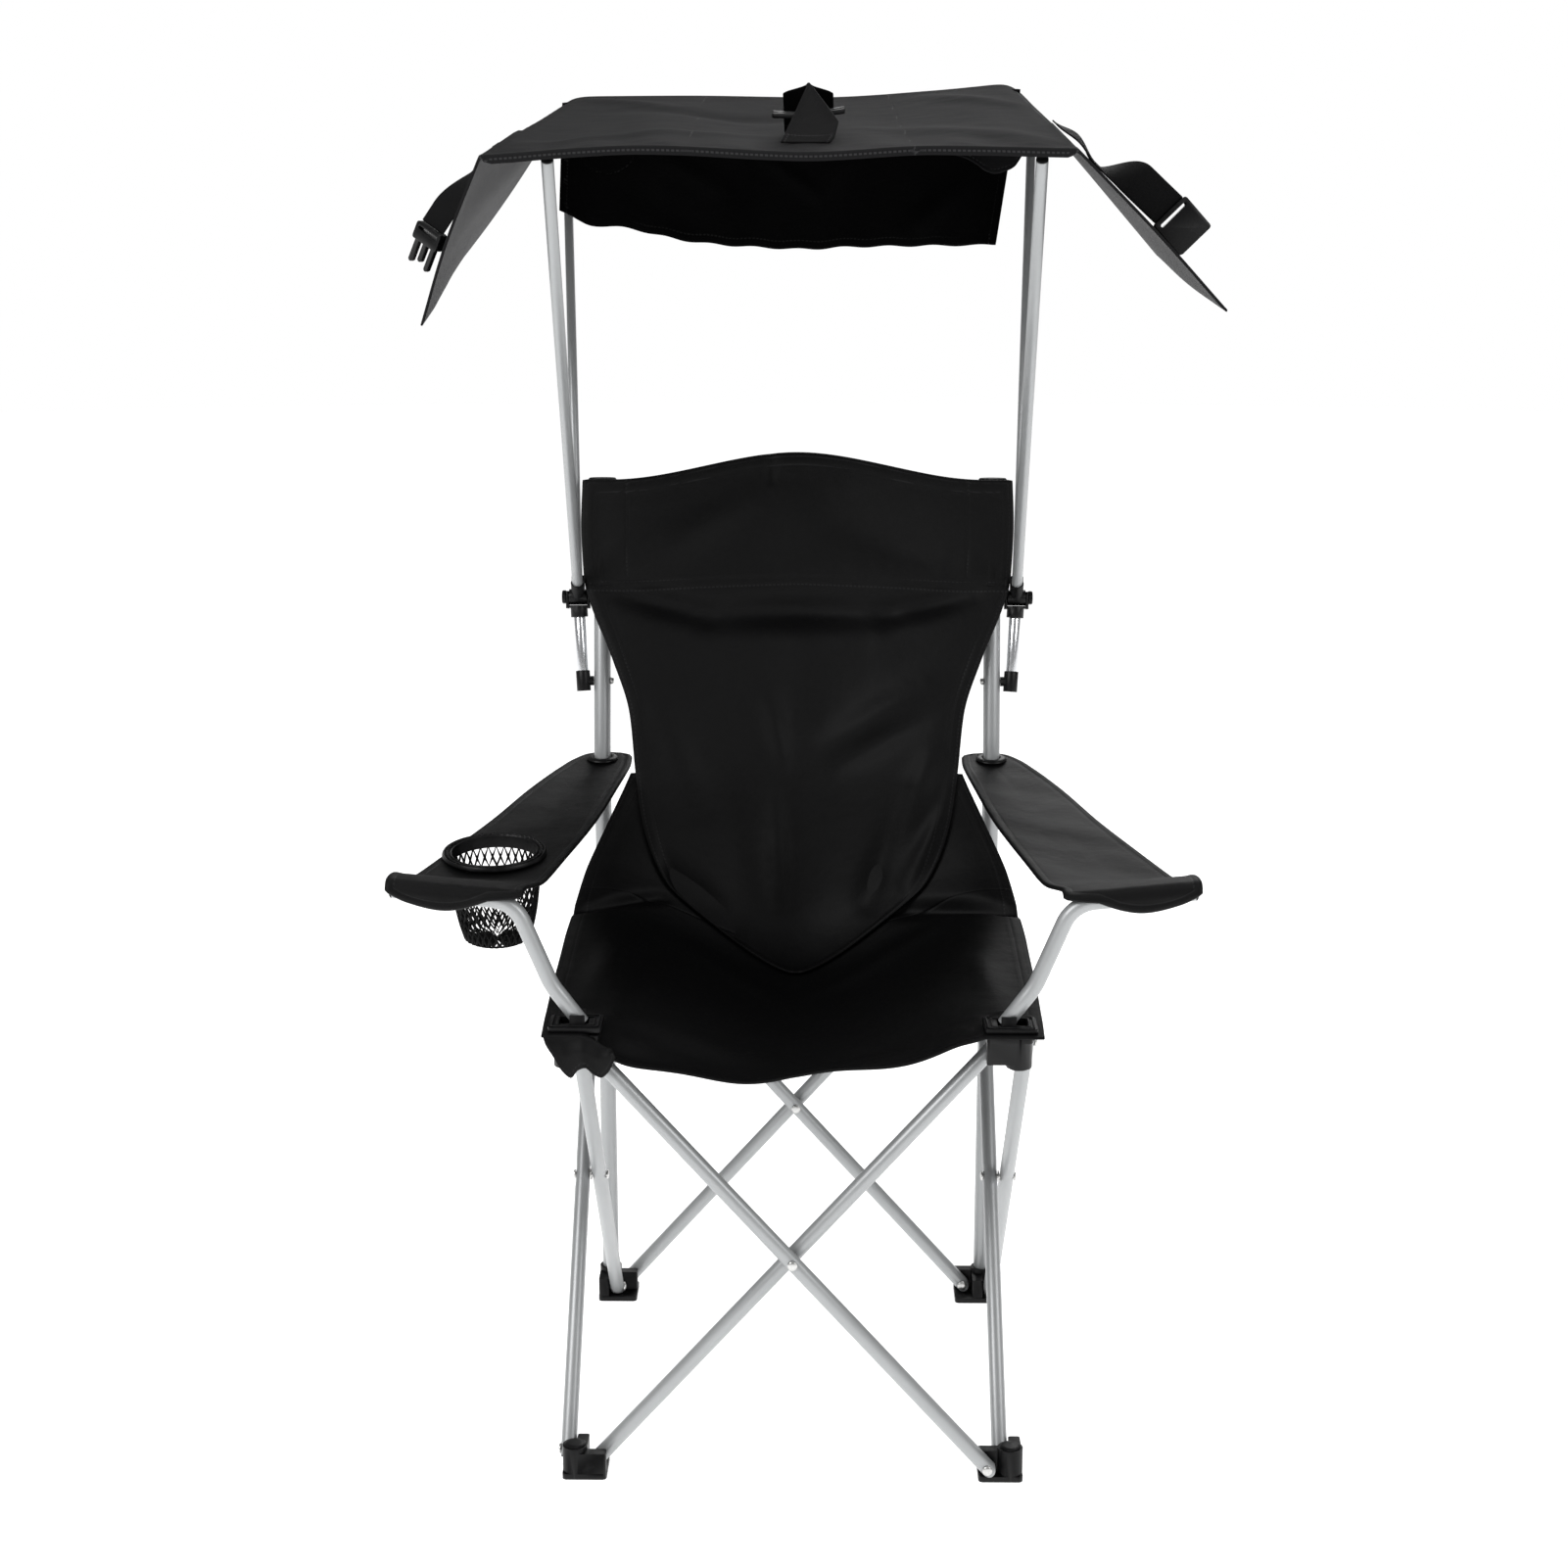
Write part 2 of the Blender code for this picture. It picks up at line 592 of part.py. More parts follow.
def placed_stations():
    """Stations as (middle y, middle z, side y, side z, width where the sag ends)."""
    placed = []
    for middle_y, middle_z, side_y, side_z, inset in FRONT_STATIONS:
        placed.append((middle_y - CORNER, SEAT_CORNER_Z + middle_z, side_y - CORNER,
                       SEAT_CORNER_Z + side_z, CORNER - inset))
    for forward, drop, side_forward, side_drop, inset in REAR_STATIONS:
        side_z = POST_TOP_Z - side_drop
        post = CORNER + max(side_z - POST_BEND_Z, 0) * math.tan(POST_LEAN)
        placed.append((post - forward, POST_TOP_Z - drop, post - side_forward, side_z, CORNER - inset))
    return placed


BODY_STATIONS = placed_stations()
BACK_LAST = len(BODY_STATIONS) - 1
SEAT_HALF_WIDTHS = [CORNER + overhang for overhang in SEAT_OVERHANGS]
BACK_HALF_WIDTHS = [CORNER * share for share in BACK_WIDTH_SHARES]


def smooth_value(values, place):
    """Monotone cubic through evenly spaced values, read at a fractional place."""
    last = len(values) - 1
    cell = min(int(place), last - 1)
    share = place - cell

    def slope(i):
        if i in (0, last):
            return 0.0
        before = values[i] - values[i - 1]
        after = values[i + 1] - values[i]
        if before * after <= 0:
            return 0.0
        return 2 * before * after / (before + after)

    if cell == 0 and share < 1:
        first_slope = values[1] - values[0]
    else:
        first_slope = slope(cell)
    last_slope = values[last] - values[last - 1] if cell + 1 == last else slope(cell + 1)
    square = share * share
    cube = square * share
    return ((2 * cube - 3 * square + 1) * values[cell] + (cube - 2 * square + share) * first_slope
            + (3 * square - 2 * cube) * values[cell + 1] + (cube - square) * last_slope)


def smoothstep(share):
    share = min(max(share, 0.0), 1.0)
    return share * share * (3 - 2 * share)


def body_point(x, station):
    """Point of the sling surface at a distance across and a place along the stations."""
    middle_y, middle_z, side_y, side_z, flat_from = (
        smooth_value([row[k] for row in BODY_STATIONS], station) for k in range(5))
    share = smoothstep(abs(x) / flat_from)
    return Vector((x, middle_y + (side_y - middle_y) * share, middle_z + (side_z - middle_z) * share))


def body_normal(x, station):
    """Unit normal of the sling surface, towards the sitter."""
    low = max(station - STATION_STEP_SHARE, 0)
    high = min(station + STATION_STEP_SHARE, BACK_LAST)
    along = body_point(x, high) - body_point(x, low)
    across = body_point(x + OVERRUN, station) - body_point(x - OVERRUN, station)
    return across.cross(along).normalized()


SEAT_ACROSS = 18
SEAT_ALONG = 13
BACK_ACROSS = 18
BACK_ALONG = 15


def make_seat():
    def point_at(i, j):
        station = j * SEAT_LAST
        x = (2 * i - 1) * smooth_value(SEAT_HALF_WIDTHS, station)
        return body_point(x, station)

    seat = sheet("seat", point_at, SEAT_ACROSS, SEAT_ALONG, CLOTH_THICKNESS)
    cuts = []
    for side in (-1, 1):
        outline = rounded_outline(*window_outline(side), PIN_RADIUS, 2)
        cuts.append(prism("window", outline, HUB_TOP_Z - OVERRUN, HUB_TOP_Z + OVERRUN * 3))
    finished(combined("seat", seat, (), cuts), "seat_cloth", CLOTH)


SLEEVE_EASE_ACROSS = 0.009
SLEEVE_EASE_DEPTH = 0.0029
SLEEVE_HALF_WIDTH = POST_RADIUS + SLEEVE_EASE_ACROSS
SLEEVE_HALF_DEPTH = POST_RADIUS + SLEEVE_EASE_DEPTH
SLEEVE_YOKE_CLEARANCE = 0.0084
SLEEVE_BOTTOM_Z = BRACKET_Z + (YOKE_AXIS_UP + CHEEK_ABOVE_AXIS) * math.cos(POST_LEAN) + SLEEVE_YOKE_CLEARANCE
SLEEVE_OVER_POST = 0.0075
SLEEVE_TOP_Z = POST_TOP_Z + SLEEVE_OVER_POST
SLEEVE_CLOSE = 0.004
SLEEVE_TOP_SHARE = 0.8


def make_back():
    """Back cloth with a pocket over the top of each post."""

    def point_at(i, j):
        station = BACK_START + j * (BACK_LAST - BACK_START)
        x = (2 * i - 1) * smooth_value(BACK_HALF_WIDTHS, station - BACK_START)
        fade = 1 - smoothstep((station - SEAT_LAST) * HALF_SHARE)
        return body_point(x, station) + body_normal(x, station) * BACK_LIFT * fade

    back = sheet("back", point_at, BACK_ACROSS, BACK_ALONG, CLOTH_THICKNESS)
    lean = Vector((0, math.sin(POST_LEAN), math.cos(POST_LEAN)))
    sleeves = []
    for side in (-1, 1):
        foot = Vector((side * CORNER, post_y(SLEEVE_BOTTOM_Z), SLEEVE_BOTTOM_Z))
        height = (SLEEVE_TOP_Z - SLEEVE_BOTTOM_Z) / math.cos(POST_LEAN)
        wall = CLOTH_THICKNESS
        profile = [(1, 0), (1, height - SLEEVE_CLOSE), (SLEEVE_TOP_SHARE, height)]
        inner = [(SLEEVE_TOP_SHARE, height - wall), (1, height - SLEEVE_CLOSE - wall), (1, 0)]
        frame = axis_frame(foot, lean)
        rings = []
        for share, z in profile:
            rings.append(ellipse_ring(frame, SLEEVE_HALF_WIDTH * share, SLEEVE_HALF_DEPTH * share, z))
        for share, z in inner:
            rings.append(ellipse_ring(frame, (SLEEVE_HALF_WIDTH - wall) * share,
                                      (SLEEVE_HALF_DEPTH - wall) * share, z))
        sleeves.append(pocket("sleeve", rings, len(profile)))
    finished(combined("back", back, sleeves), "back_cloth", CLOTH)


def ellipse_ring(frame, half_width, half_depth, z):
    ring = []
    for i in range(POST_SIDES):
        angle = 4 * QUARTER_TURN * i / POST_SIDES
        ring.append(frame @ Vector((half_width * math.cos(angle), half_depth * math.sin(angle), z)))
    return ring


def pocket(name, rings, outer_count):
    """Sleeve that is open at its foot and closed at its top, inside and out."""
    shape = bmesh.new()
    rows = [[shape.verts.new(point) for point in ring] for ring in rings]
    outer = rows[:outer_count]
    inner = rows[outer_count:]
    for row, following in zip(outer, outer[1:]):
        bridge(shape, row, following)
    for row, following in zip(inner, inner[1:]):
        bridge(shape, row, following)
    bridge(shape, inner[-1], outer[0])
    shape.faces.new(outer[-1])
    shape.faces.new(inner[0])
    return from_bmesh(name, shape)


# Arms: flat padded cloth from the back posts to a sleeve over each arm post's top

ARM_TIP_COVER = 0.0065
ARM_REAR_RISE = 0.045
ARM_FRONT_Z = FORK_PIVOT_Z + ARM_POST_TIP[1] - ARM_TIP_COVER
ARM_REAR_Z = ARM_FRONT_Z + ARM_REAR_RISE
ARM_FRONT_INSET = 0.0071
ARM_FRONT_Y = -FORK_CENTRE + ARM_FRONT_INSET
ARM_THICKNESS = 0.004
ARM_SLOPE = math.asin(ARM_REAR_RISE / (CORNER - ARM_FRONT_Y))
# Each arm's outline: how far out from the back post's line, and the share of the way from the back
# post to the arm's front edge
ARM_OUTLINE_OUT = (
    -0.0310, -0.0320, -0.0220, -0.0090, 0.0120, 0.0270, 0.0410, 0.1710, 0.1670,
    0.1510, 0.1270, 0.0990, 0.0710, 0.0470, 0.0320, 0.0170, 0.0000, -0.0190,
)
ARM_OUTLINE_SHARES = (
    -0.0306, 0.0377, 0.2615, 0.4972, 0.7564, 0.9213, 1.0000, 1.0000, 0.9519,
    0.8506, 0.6857, 0.4854, 0.2498, 0.0848, 0.0024, -0.0448, -0.0589, -0.0518,
)
ARM_SLEEVE_WALL = 0.0028
ARM_SLEEVE_BORE = TUBE_RADIUS + CLOTH_GAP
ARM_SLEEVE_RADIUS = ARM_SLEEVE_BORE + ARM_SLEEVE_WALL
ARM_SLEEVE_START = 0.076
ARM_SLEEVE_END = 0.007
GROMMET_CLEARANCE = 0.0009
GROMMET_WALL = 0.0014
GROMMET_FLANGE = 0.0053
GROMMET_THICKNESS = 0.0025
GROMMET_BORE_RADIUS = POST_RADIUS + GROMMET_CLEARANCE
GROMMET_COLLAR_RADIUS = GROMMET_BORE_RADIUS + GROMMET_WALL
POST_HOLE_RADIUS = GROMMET_COLLAR_RADIUS + CLOTH_GAP
GROMMET_RADIUS = POST_HOLE_RADIUS + GROMMET_FLANGE
CUP_CENTRE_OUT = 0.0840
CUP_CENTRE_SHARE = 0.7328
CUP_HOLE_RADIUS = 0.0470
CUP_SIDES = 24


def arm_frame():
    """Frame of both arms' top face: z = 0 is the face, and x, y run over it."""
    tilt = Matrix.Rotation(ARM_SLOPE, 4, "X")
    return Matrix.Translation((0, CORNER, ARM_REAR_Z)) @ tilt @ Matrix.Translation((0, -CORNER, 0))


def arm_place(side, out, share):
    """Point on an arm's top face, by its distance out from the post's line and share forward."""
    return arm_frame() @ Vector((side * (CORNER + out), CORNER + (ARM_FRONT_Y - CORNER) * share, 0))


def make_arms():
    frame = arm_frame()
    up = frame.to_3x3() @ Vector((0, 0, 1))
    for name, side in (("left", -1), ("right", 1)):
        rim = [arm_place(side, out, share) for out, share in zip(ARM_OUTLINE_OUT, ARM_OUTLINE_SHARES)]
        arm = loft("arm", [[point - up * depth for point in rim] for depth in (ARM_THICKNESS, 0)])
        bend = arm_post_point(side, ARM_POST_BEND)
        tip = arm_post_point(side, ARM_POST_TIP)
        along = (tip - bend).normalized()
        sleeve_start = tip - along * ARM_SLEEVE_START
        wall = ARM_SLEEVE_RADIUS - ARM_SLEEVE_BORE
        length = ARM_SLEEVE_START + ARM_SLEEVE_END
        outer = [(ARM_SLEEVE_RADIUS, 0), (ARM_SLEEVE_RADIUS, length - wall), (ARM_SLEEVE_BORE, length)]
        inner = [(ARM_SLEEVE_BORE * SLEEVE_TOP_SHARE, length - wall), (ARM_SLEEVE_BORE, length - wall * 2),
                 (ARM_SLEEVE_BORE, 0)]
        rings = turned(outer + inner, sleeve_start, along)
        sleeve = pocket("sleeve", rings, len(outer))
        post_place = arm_place(side, 0, 0)
        cuts = [rod("post_hole", post_place - up * OVERRUN * 2, post_place + up * OVERRUN, POST_HOLE_RADIUS,
                    TURNED_SIDES)]
        if side < 0:
            cup_place = arm_place(side, CUP_CENTRE_OUT, CUP_CENTRE_SHARE)
            cuts.append(rod("cup_hole", cup_place - up * OVERRUN * 2, cup_place + up * OVERRUN,
                            CUP_HOLE_RADIUS, CUP_SIDES))
        finished(combined("arm", arm, (sleeve,), cuts), name + "_arm_cloth", CLOTH, post_place)
        profile = [(GROMMET_BORE_RADIUS, GROMMET_THICKNESS), (GROMMET_RADIUS - EDGE_EASE, GROMMET_THICKNESS),
                   (GROMMET_RADIUS, TOUCH_GAP), (GROMMET_COLLAR_RADIUS, TOUCH_GAP),
                   (GROMMET_COLLAR_RADIUS, -ARM_THICKNESS), (GROMMET_BORE_RADIUS, -ARM_THICKNESS)]
        finished(turned_ring("grommet", profile, post_place, up), name + "_arm_grommet", PLASTIC, post_place)


# Cup holder: plastic ring in the left arm and a net pocket under it

CUP_RING_RADIUS = 0.0530
CUP_COLLAR_RADIUS = 0.0462
CUP_BORE_RADIUS = 0.0430
CUP_RING_THICKNESS = 0.004
CUP_COLLAR_DEPTH = 0.009
CUP_DEPTH = 0.095
CUP_BASE_RADIUS = 0.033
CUP_NET_THICKNESS = 0.0015


def make_cup_holder():
    frame = arm_frame()
    up = frame.to_3x3() @ Vector((0, 0, 1))
    place = arm_place(-1, CUP_CENTRE_OUT, CUP_CENTRE_SHARE)
    profile = [(CUP_BORE_RADIUS, CUP_RING_THICKNESS - EDGE_EASE),
               (CUP_BORE_RADIUS + EDGE_EASE, CUP_RING_THICKNESS),
               (CUP_RING_RADIUS - EDGE_EASE * 2, CUP_RING_THICKNESS), (CUP_RING_RADIUS, TOUCH_GAP),
               (CUP_COLLAR_RADIUS, TOUCH_GAP), (CUP_COLLAR_RADIUS, -CUP_COLLAR_DEPTH),
               (CUP_BORE_RADIUS, -CUP_COLLAR_DEPTH)]
    finished(turned_ring("cup_ring", profile, place, up, CUP_SIDES), "cup_ring", PLASTIC, place)
    top = -CUP_COLLAR_DEPTH - TOUCH_GAP
    wall = CUP_NET_THICKNESS
    outer = [(CUP_COLLAR_RADIUS, top), (CUP_BASE_RADIUS, -CUP_DEPTH)]
    inner = [(CUP_BASE_RADIUS - wall, wall - CUP_DEPTH), (CUP_COLLAR_RADIUS - wall, top)]
    rings = turned(outer + inner, place, up, CUP_SIDES)
    finished(pocket("net", rings, len(outer)), "cup_net", NET, place)


# Canopy masts: brackets bolted to the back posts, short masts, yokes and tilting knuckles

MAST_CLEARANCE = 0.0121
MAST_SPLAY = 0.0057
MAST_OUT_LOW = POST_RADIUS + MAST_CLEARANCE
MAST_OUT_HIGH = MAST_OUT_LOW + MAST_SPLAY
MAST_RADIUS = 0.0065
MAST_WALL = 0.0012
BRACKET_RADIUS = 0.0080
BRACKET_HALF_HEIGHT = 0.0115
BRACKET_FLOOR = 0.003
BOSS_RADIUS = 0.0056
BOLT_HEAD_RADIUS = 0.0042
BOLT_HEAD_HEIGHT = 0.0035
BOLT_DEPTH = 0.0135
YOKE_CUP_BOTTOM = 0.0725
YOKE_CUP_TOP = 0.0850
YOKE_RADIUS = 0.0097
SADDLE_THICKNESS = 0.003
CHEEK_THICKNESS = 0.003
CHEEK_HALF_WIDTH = 0.0075
KNUCKLE_HALF_WIDTH = 0.0102
KNUCKLE_RADIUS = 0.0090
POLE_SOCKET_LENGTH = 0.024
POLE_SOCKET_RADIUS = 0.0076
POLE_START = 0.0150
FRONT_POLE_RADIUS = 0.0060
REAR_POLE_RADIUS = 0.0052
POLE_WALL = 0.001
KNOB_RADIUS = 0.0078
KNOB_THICKNESS = 0.0045
KNOB_LOBE_SIDES = 12
NUT_RADIUS = 0.0040
NUT_HEIGHT = 0.0024


def mast_frame(side):
    """Frame at the bracket bolt: x runs outward along the bolt, z up the leaning post."""
    lean = Matrix.Rotation(-POST_LEAN, 4, "X")
    mirror = Matrix.Scale(side, 4, (1, 0, 0))
    return Matrix.Translation((side * CORNER, post_y(BRACKET_Z), BRACKET_Z)) @ lean @ mirror


def mast_point(side, out, up, back=0.0):
    return mast_frame(side) @ Vector((out, back, up))


def mast_axis(side):
    low = mast_point(side, MAST_OUT_LOW, 0)
    high = mast_point(side, MAST_OUT_HIGH, YOKE_AXIS_UP)
    return low, high, (high - low).normalized()


def make_bracket(name, side):
    low, high, along = mast_axis(side)
    start = low - along * BRACKET_HALF_HEIGHT
    body = rod("body", start, low + along * BRACKET_HALF_HEIGHT, BRACKET_RADIUS, POST_SIDES)
    boss = rod("boss", mast_point(side, POST_RADIUS + TOUCH_GAP, 0), mast_point(side, MAST_OUT_LOW, 0),
               BOSS_RADIUS)
    bore = rod("bore", start + along * BRACKET_FLOOR, low + along * (BRACKET_HALF_HEIGHT + OVERRUN),
               MAST_RADIUS + TOUCH_GAP, POST_SIDES)
    bolt_hole = rod("bolt_hole", mast_point(side, 0, 0), mast_point(side, BOLT_DEPTH + BOLT_CLEARANCE, 0),
                    BOLT_RADIUS + BOLT_CLEARANCE)
    bracket = combined("bracket", body, (boss,), (bore, bolt_hole))
    finished(bracket, name + "_mast_bracket", PLASTIC, mast_point(side, 0, 0))
    head = -POST_RADIUS - TOUCH_GAP
    profile = [(BOLT_HEAD_RADIUS, head - BOLT_HEAD_HEIGHT), (BOLT_HEAD_RADIUS, head),
               (BOLT_RADIUS, head), (BOLT_RADIUS, BOLT_DEPTH)]
    outward = Vector((side, 0, 0))
    bolt = turned_solid("bolt", profile, mast_point(side, 0, 0), outward, HOLE_SIDES)
    finished(bolt, name + "_bracket_bolt", ZINC_STEEL, mast_point(side, 0, 0))


def make_mast(name, side):
    low, high, along = mast_axis(side)
    foot = low - along * (BRACKET_HALF_HEIGHT - BRACKET_FLOOR - TOUCH_GAP)
    top = low + along * (YOKE_CUP_TOP - BRACKET_FLOOR)
    mast = pipe("mast", [foot, top], MAST_RADIUS, MAST_RADIUS - MAST_WALL, POST_SIDES)
    finished(mast, name + "_mast", BRIGHT_ALLOY, low)


def make_yoke(name, side):
    """Cup on the mast's top with two cheeks that hold the knuckle between them."""
    low, high, along = mast_axis(side)
    cup = rod("cup", low + along * YOKE_CUP_BOTTOM, low + along * YOKE_CUP_TOP, YOKE_RADIUS, POST_SIDES)
    bore = rod("bore", low + along * (YOKE_CUP_BOTTOM - OVERRUN),
               low + along * (YOKE_CUP_TOP - BRACKET_FLOOR + TOUCH_GAP), MAST_RADIUS + TOUCH_GAP, POST_SIDES)
    frame = mast_frame(side)
    cheeks = []
    for way in (-1, 1):
        near = MAST_OUT_HIGH + way * (KNUCKLE_HALF_WIDTH + TOUCH_GAP)
        far = near + way * CHEEK_THICKNESS
        outline = rounded_outline(min(near, far), max(near, far), -CHEEK_HALF_WIDTH, CHEEK_HALF_WIDTH,
                                  CHEEK_THICKNESS * CORNER_SHARE, 1)
        cheeks.append(prism("cheek", outline, YOKE_CUP_TOP - BRACKET_FLOOR,
                            YOKE_AXIS_UP + CHEEK_ABOVE_AXIS, frame))
    reach = KNUCKLE_HALF_WIDTH + TOUCH_GAP + CHEEK_THICKNESS * HALF_SHARE
    saddle = rounded_outline(MAST_OUT_HIGH - reach, MAST_OUT_HIGH + reach, -CHEEK_HALF_WIDTH + WALL_INSET,
                             CHEEK_HALF_WIDTH - WALL_INSET, CHEEK_THICKNESS * HALF_SHARE, 1)
    cheeks.append(prism("saddle", saddle, YOKE_CUP_TOP - SADDLE_THICKNESS + WALL_INSET,
                        YOKE_CUP_TOP + WALL_INSET, frame))
    reach = KNUCKLE_HALF_WIDTH + CHEEK_THICKNESS + OVERRUN
    pin_hole = rod("pin_hole", mast_point(side, MAST_OUT_HIGH - reach, YOKE_AXIS_UP),
                   mast_point(side, MAST_OUT_HIGH + reach, YOKE_AXIS_UP), BOLT_RADIUS + BOLT_CLEARANCE)
    yoke = combined("yoke", cup, cheeks, (bore, pin_hole))
    finished(yoke, name + "_mast_yoke", PLASTIC, mast_point(side, MAST_OUT_HIGH, YOKE_AXIS_UP))


# Canopy poles: two in a V from each knuckle to the canopy's front and rear hems

# Pole tips: how far out from the post's line, how far in front of or behind the rear corners, height
FRONT_TIP_OUT = 0.0110
FRONT_TIP_FORWARD = 0.3490
FRONT_TIP_Z = 1.3000
REAR_TIP_OUT = 0.0450
REAR_TIP_BACK = 0.2250
REAR_TIP_Z = 1.3740
FRONT_POLE_TIP = (CORNER + FRONT_TIP_OUT, CORNER - FRONT_TIP_FORWARD, FRONT_TIP_Z)
REAR_POLE_TIP = (CORNER + REAR_TIP_OUT, CORNER + REAR_TIP_BACK, REAR_TIP_Z)


def make_canopy_arm(name, side):
    axis = mast_point(side, MAST_OUT_HIGH, YOKE_AXIS_UP)
    outward = Vector((side, 0, 0))
    hub = rod("hub", axis - outward * KNUCKLE_HALF_WIDTH, axis + outward * KNUCKLE_HALF_WIDTH,
              KNUCKLE_RADIUS, POST_SIDES)
    sockets = []
    bores = [rod("pin_hole", axis - outward * (KNUCKLE_HALF_WIDTH + OVERRUN),
                 axis + outward * (KNUCKLE_HALF_WIDTH + OVERRUN), BOLT_RADIUS + BOLT_CLEARANCE)]
    for label, tip, radius in (("front", FRONT_POLE_TIP, FRONT_POLE_RADIUS),
                               ("rear", REAR_POLE_TIP, REAR_POLE_RADIUS)):
        end = Vector((side * tip[0], tip[1], tip[2]))
        along = (end - axis).normalized()
        start = axis + along * POLE_START
        mouth = axis + along * POLE_SOCKET_LENGTH
        sockets.append(rod("socket", axis + along * PIN_RADIUS, mouth, POLE_SOCKET_RADIUS, TUBE_SIDES))
        bores.append(rod("bore", start - along * TOUCH_GAP, axis + along * (POLE_SOCKET_LENGTH + OVERRUN),
                         radius + TOUCH_GAP, TUBE_SIDES))
        pole = pipe("pole", [start, end], radius, radius - POLE_WALL, TUBE_SIDES)
        finished(pole, name + "_" + label + "_pole", PAINTED_STEEL, axis)
    finished(combined("knuckle", hub, sockets, bores), name + "_knuckle", PLASTIC, axis)


def make_knob(name, side):
    """Knob and bolt through the yoke, with a nut on the inner side."""
    axis = mast_point(side, MAST_OUT_HIGH, YOKE_AXIS_UP)
    outward = Vector((side, 0, 0))
    face = KNUCKLE_HALF_WIDTH + CHEEK_THICKNESS + TOUCH_GAP * 2
    profile = [(NUT_RADIUS, -face - NUT_HEIGHT), (NUT_RADIUS, -face), (BOLT_RADIUS, -face),
               (BOLT_RADIUS, face), (KNOB_RADIUS, face), (KNOB_RADIUS, face + KNOB_THICKNESS - EDGE_EASE),
               (KNOB_RADIUS - EDGE_EASE, face + KNOB_THICKNESS)]
    knob = turned_solid("knob", profile, axis, outward, KNOB_LOBE_SIDES)
    finished(knob, name + "_tilt_knob", PLASTIC, axis)


def make_canopy_supports():
    for name, side in (("left", -1), ("right", 1)):
        make_bracket(name, side)
        make_mast(name, side)
        make_yoke(name, side)
        make_canopy_arm(name, side)
        make_knob(name, side)


# Canopy cloth: a top panel with a side wing hanging from each long edge

CANOPY_THICKNESS = 0.003
# Section lines of the canopy from the left wing's hem to the right wing's hem, along its front and
# rear edges: shares of the pole tips' distance out, and depths and heights from the pole tips
FRONT_ACROSS_SHARES = (-1.5918, -1.4440, -1.2672, -0.6034, 0.0431, 0.5603, 1.1379, 1.4655, 1.7716)
FRONT_DEPTHS = (0.0880, 0.0300, -0.0120, -0.0140, -0.0140, -0.0140, -0.0120, -0.0060, 0.0080)
FRONT_RISES = (-0.1550, -0.0780, 0.0030, 0.0120, 0.0060, 0.0115, 0.0090, -0.0650, -0.1385)
REAR_ACROSS_SHARES = (-1.5613, -1.2970, -1.0226, -0.4887, 0.0752, 0.5639, 0.9361, 1.2594, 1.5789)
REAR_DEPTHS = (-0.0160, 0.0000, 0.0140, 0.0170, 0.0170, 0.0160, 0.0140, 0.0060, -0.0100)
REAR_RISES = (-0.1920, -0.0840, 0.0150, 0.0160, 0.0140, 0.0210, 0.0300, -0.0660, -0.1640)
LEFT_FOLD = 2
RIGHT_FOLD = 6
CANOPY_LAST = len(FRONT_RISES) - 1
CANOPY_CELLS = (2, 2, 4, 4, 4, 4, 2, 2)
CANOPY_ALONG = 10
CANOPY_SAG = 0.006
PLACE_STEP_SHARE = 0.02
PLACE_LIMIT_SHARE = 0.001


def section_line(tip, across_shares, depths, rises):
    """Points of a section line, from shares and distances measured at a pole tip."""
    return [Vector((tip[0] * across, tip[1] + depth, tip[2] + rise))
            for across, depth, rise in zip(across_shares, depths, rises)]


FRONT_SECTION = section_line(FRONT_POLE_TIP, FRONT_ACROSS_SHARES, FRONT_DEPTHS, FRONT_RISES)
REAR_SECTION = section_line(REAR_POLE_TIP, REAR_ACROSS_SHARES, REAR_DEPTHS, REAR_RISES)


def canopy_point(place, share):
    """Point on the canopy at a place along its section lines and a share from front to rear."""
    cell = min(int(place), CANOPY_LAST - 1)
    part = place - cell
    front = FRONT_SECTION[cell].lerp(FRONT_SECTION[cell + 1], part)
    rear = REAR_SECTION[cell].lerp(REAR_SECTION[cell + 1], part)
    point = front.lerp(rear, share)
    over_top = min(max((place - LEFT_FOLD) / (RIGHT_FOLD - LEFT_FOLD), 0), 1)
    point.z -= CANOPY_SAG * math.sin(2 * QUARTER_TURN * share) * math.sin(2 * QUARTER_TURN * over_top)
    return point


def canopy_normal(place, share):
    before = max(place - PLACE_STEP_SHARE, 0)
    after = min(place + PLACE_STEP_SHARE, CANOPY_LAST)
    across = canopy_point(after, share) - canopy_point(before, share)
    nearer = max(share - PLACE_STEP_SHARE, 0)
    further = min(share + PLACE_STEP_SHARE, 1)
    along = canopy_point(place, further) - canopy_point(place, nearer)
    return across.cross(along).normalized()


def canopy_height(x, share):
    """Height of the canopy's top panel at a distance across and a share from front to rear."""
    low = LEFT_FOLD
    high = RIGHT_FOLD
    while high - low > PLACE_LIMIT_SHARE:
        middle = (low + high) * HALF_SHARE
        if canopy_point(middle, share).x < x:
            low = middle
        else:
            high = middle
    return canopy_point(low, share).z


def make_canopy_cloth():
    places = [0.0]
    for cell, count in enumerate(CANOPY_CELLS):
        places += [cell + (k + 1) / count for k in range(count)]
    across = len(places) - 1

    def point_at(i, j):
        return canopy_point(places[round(i * across)], j)

    cloth = sheet("canopy", point_at, across, CANOPY_ALONG, CANOPY_THICKNESS)
    finished(cloth, "canopy_cloth", CANOPY_CLOTH, canopy_point(CANOPY_LAST * HALF_SHARE, 0))


# Rear flap: the case's end cover, hanging inside the canopy's rear edge over the rear poles

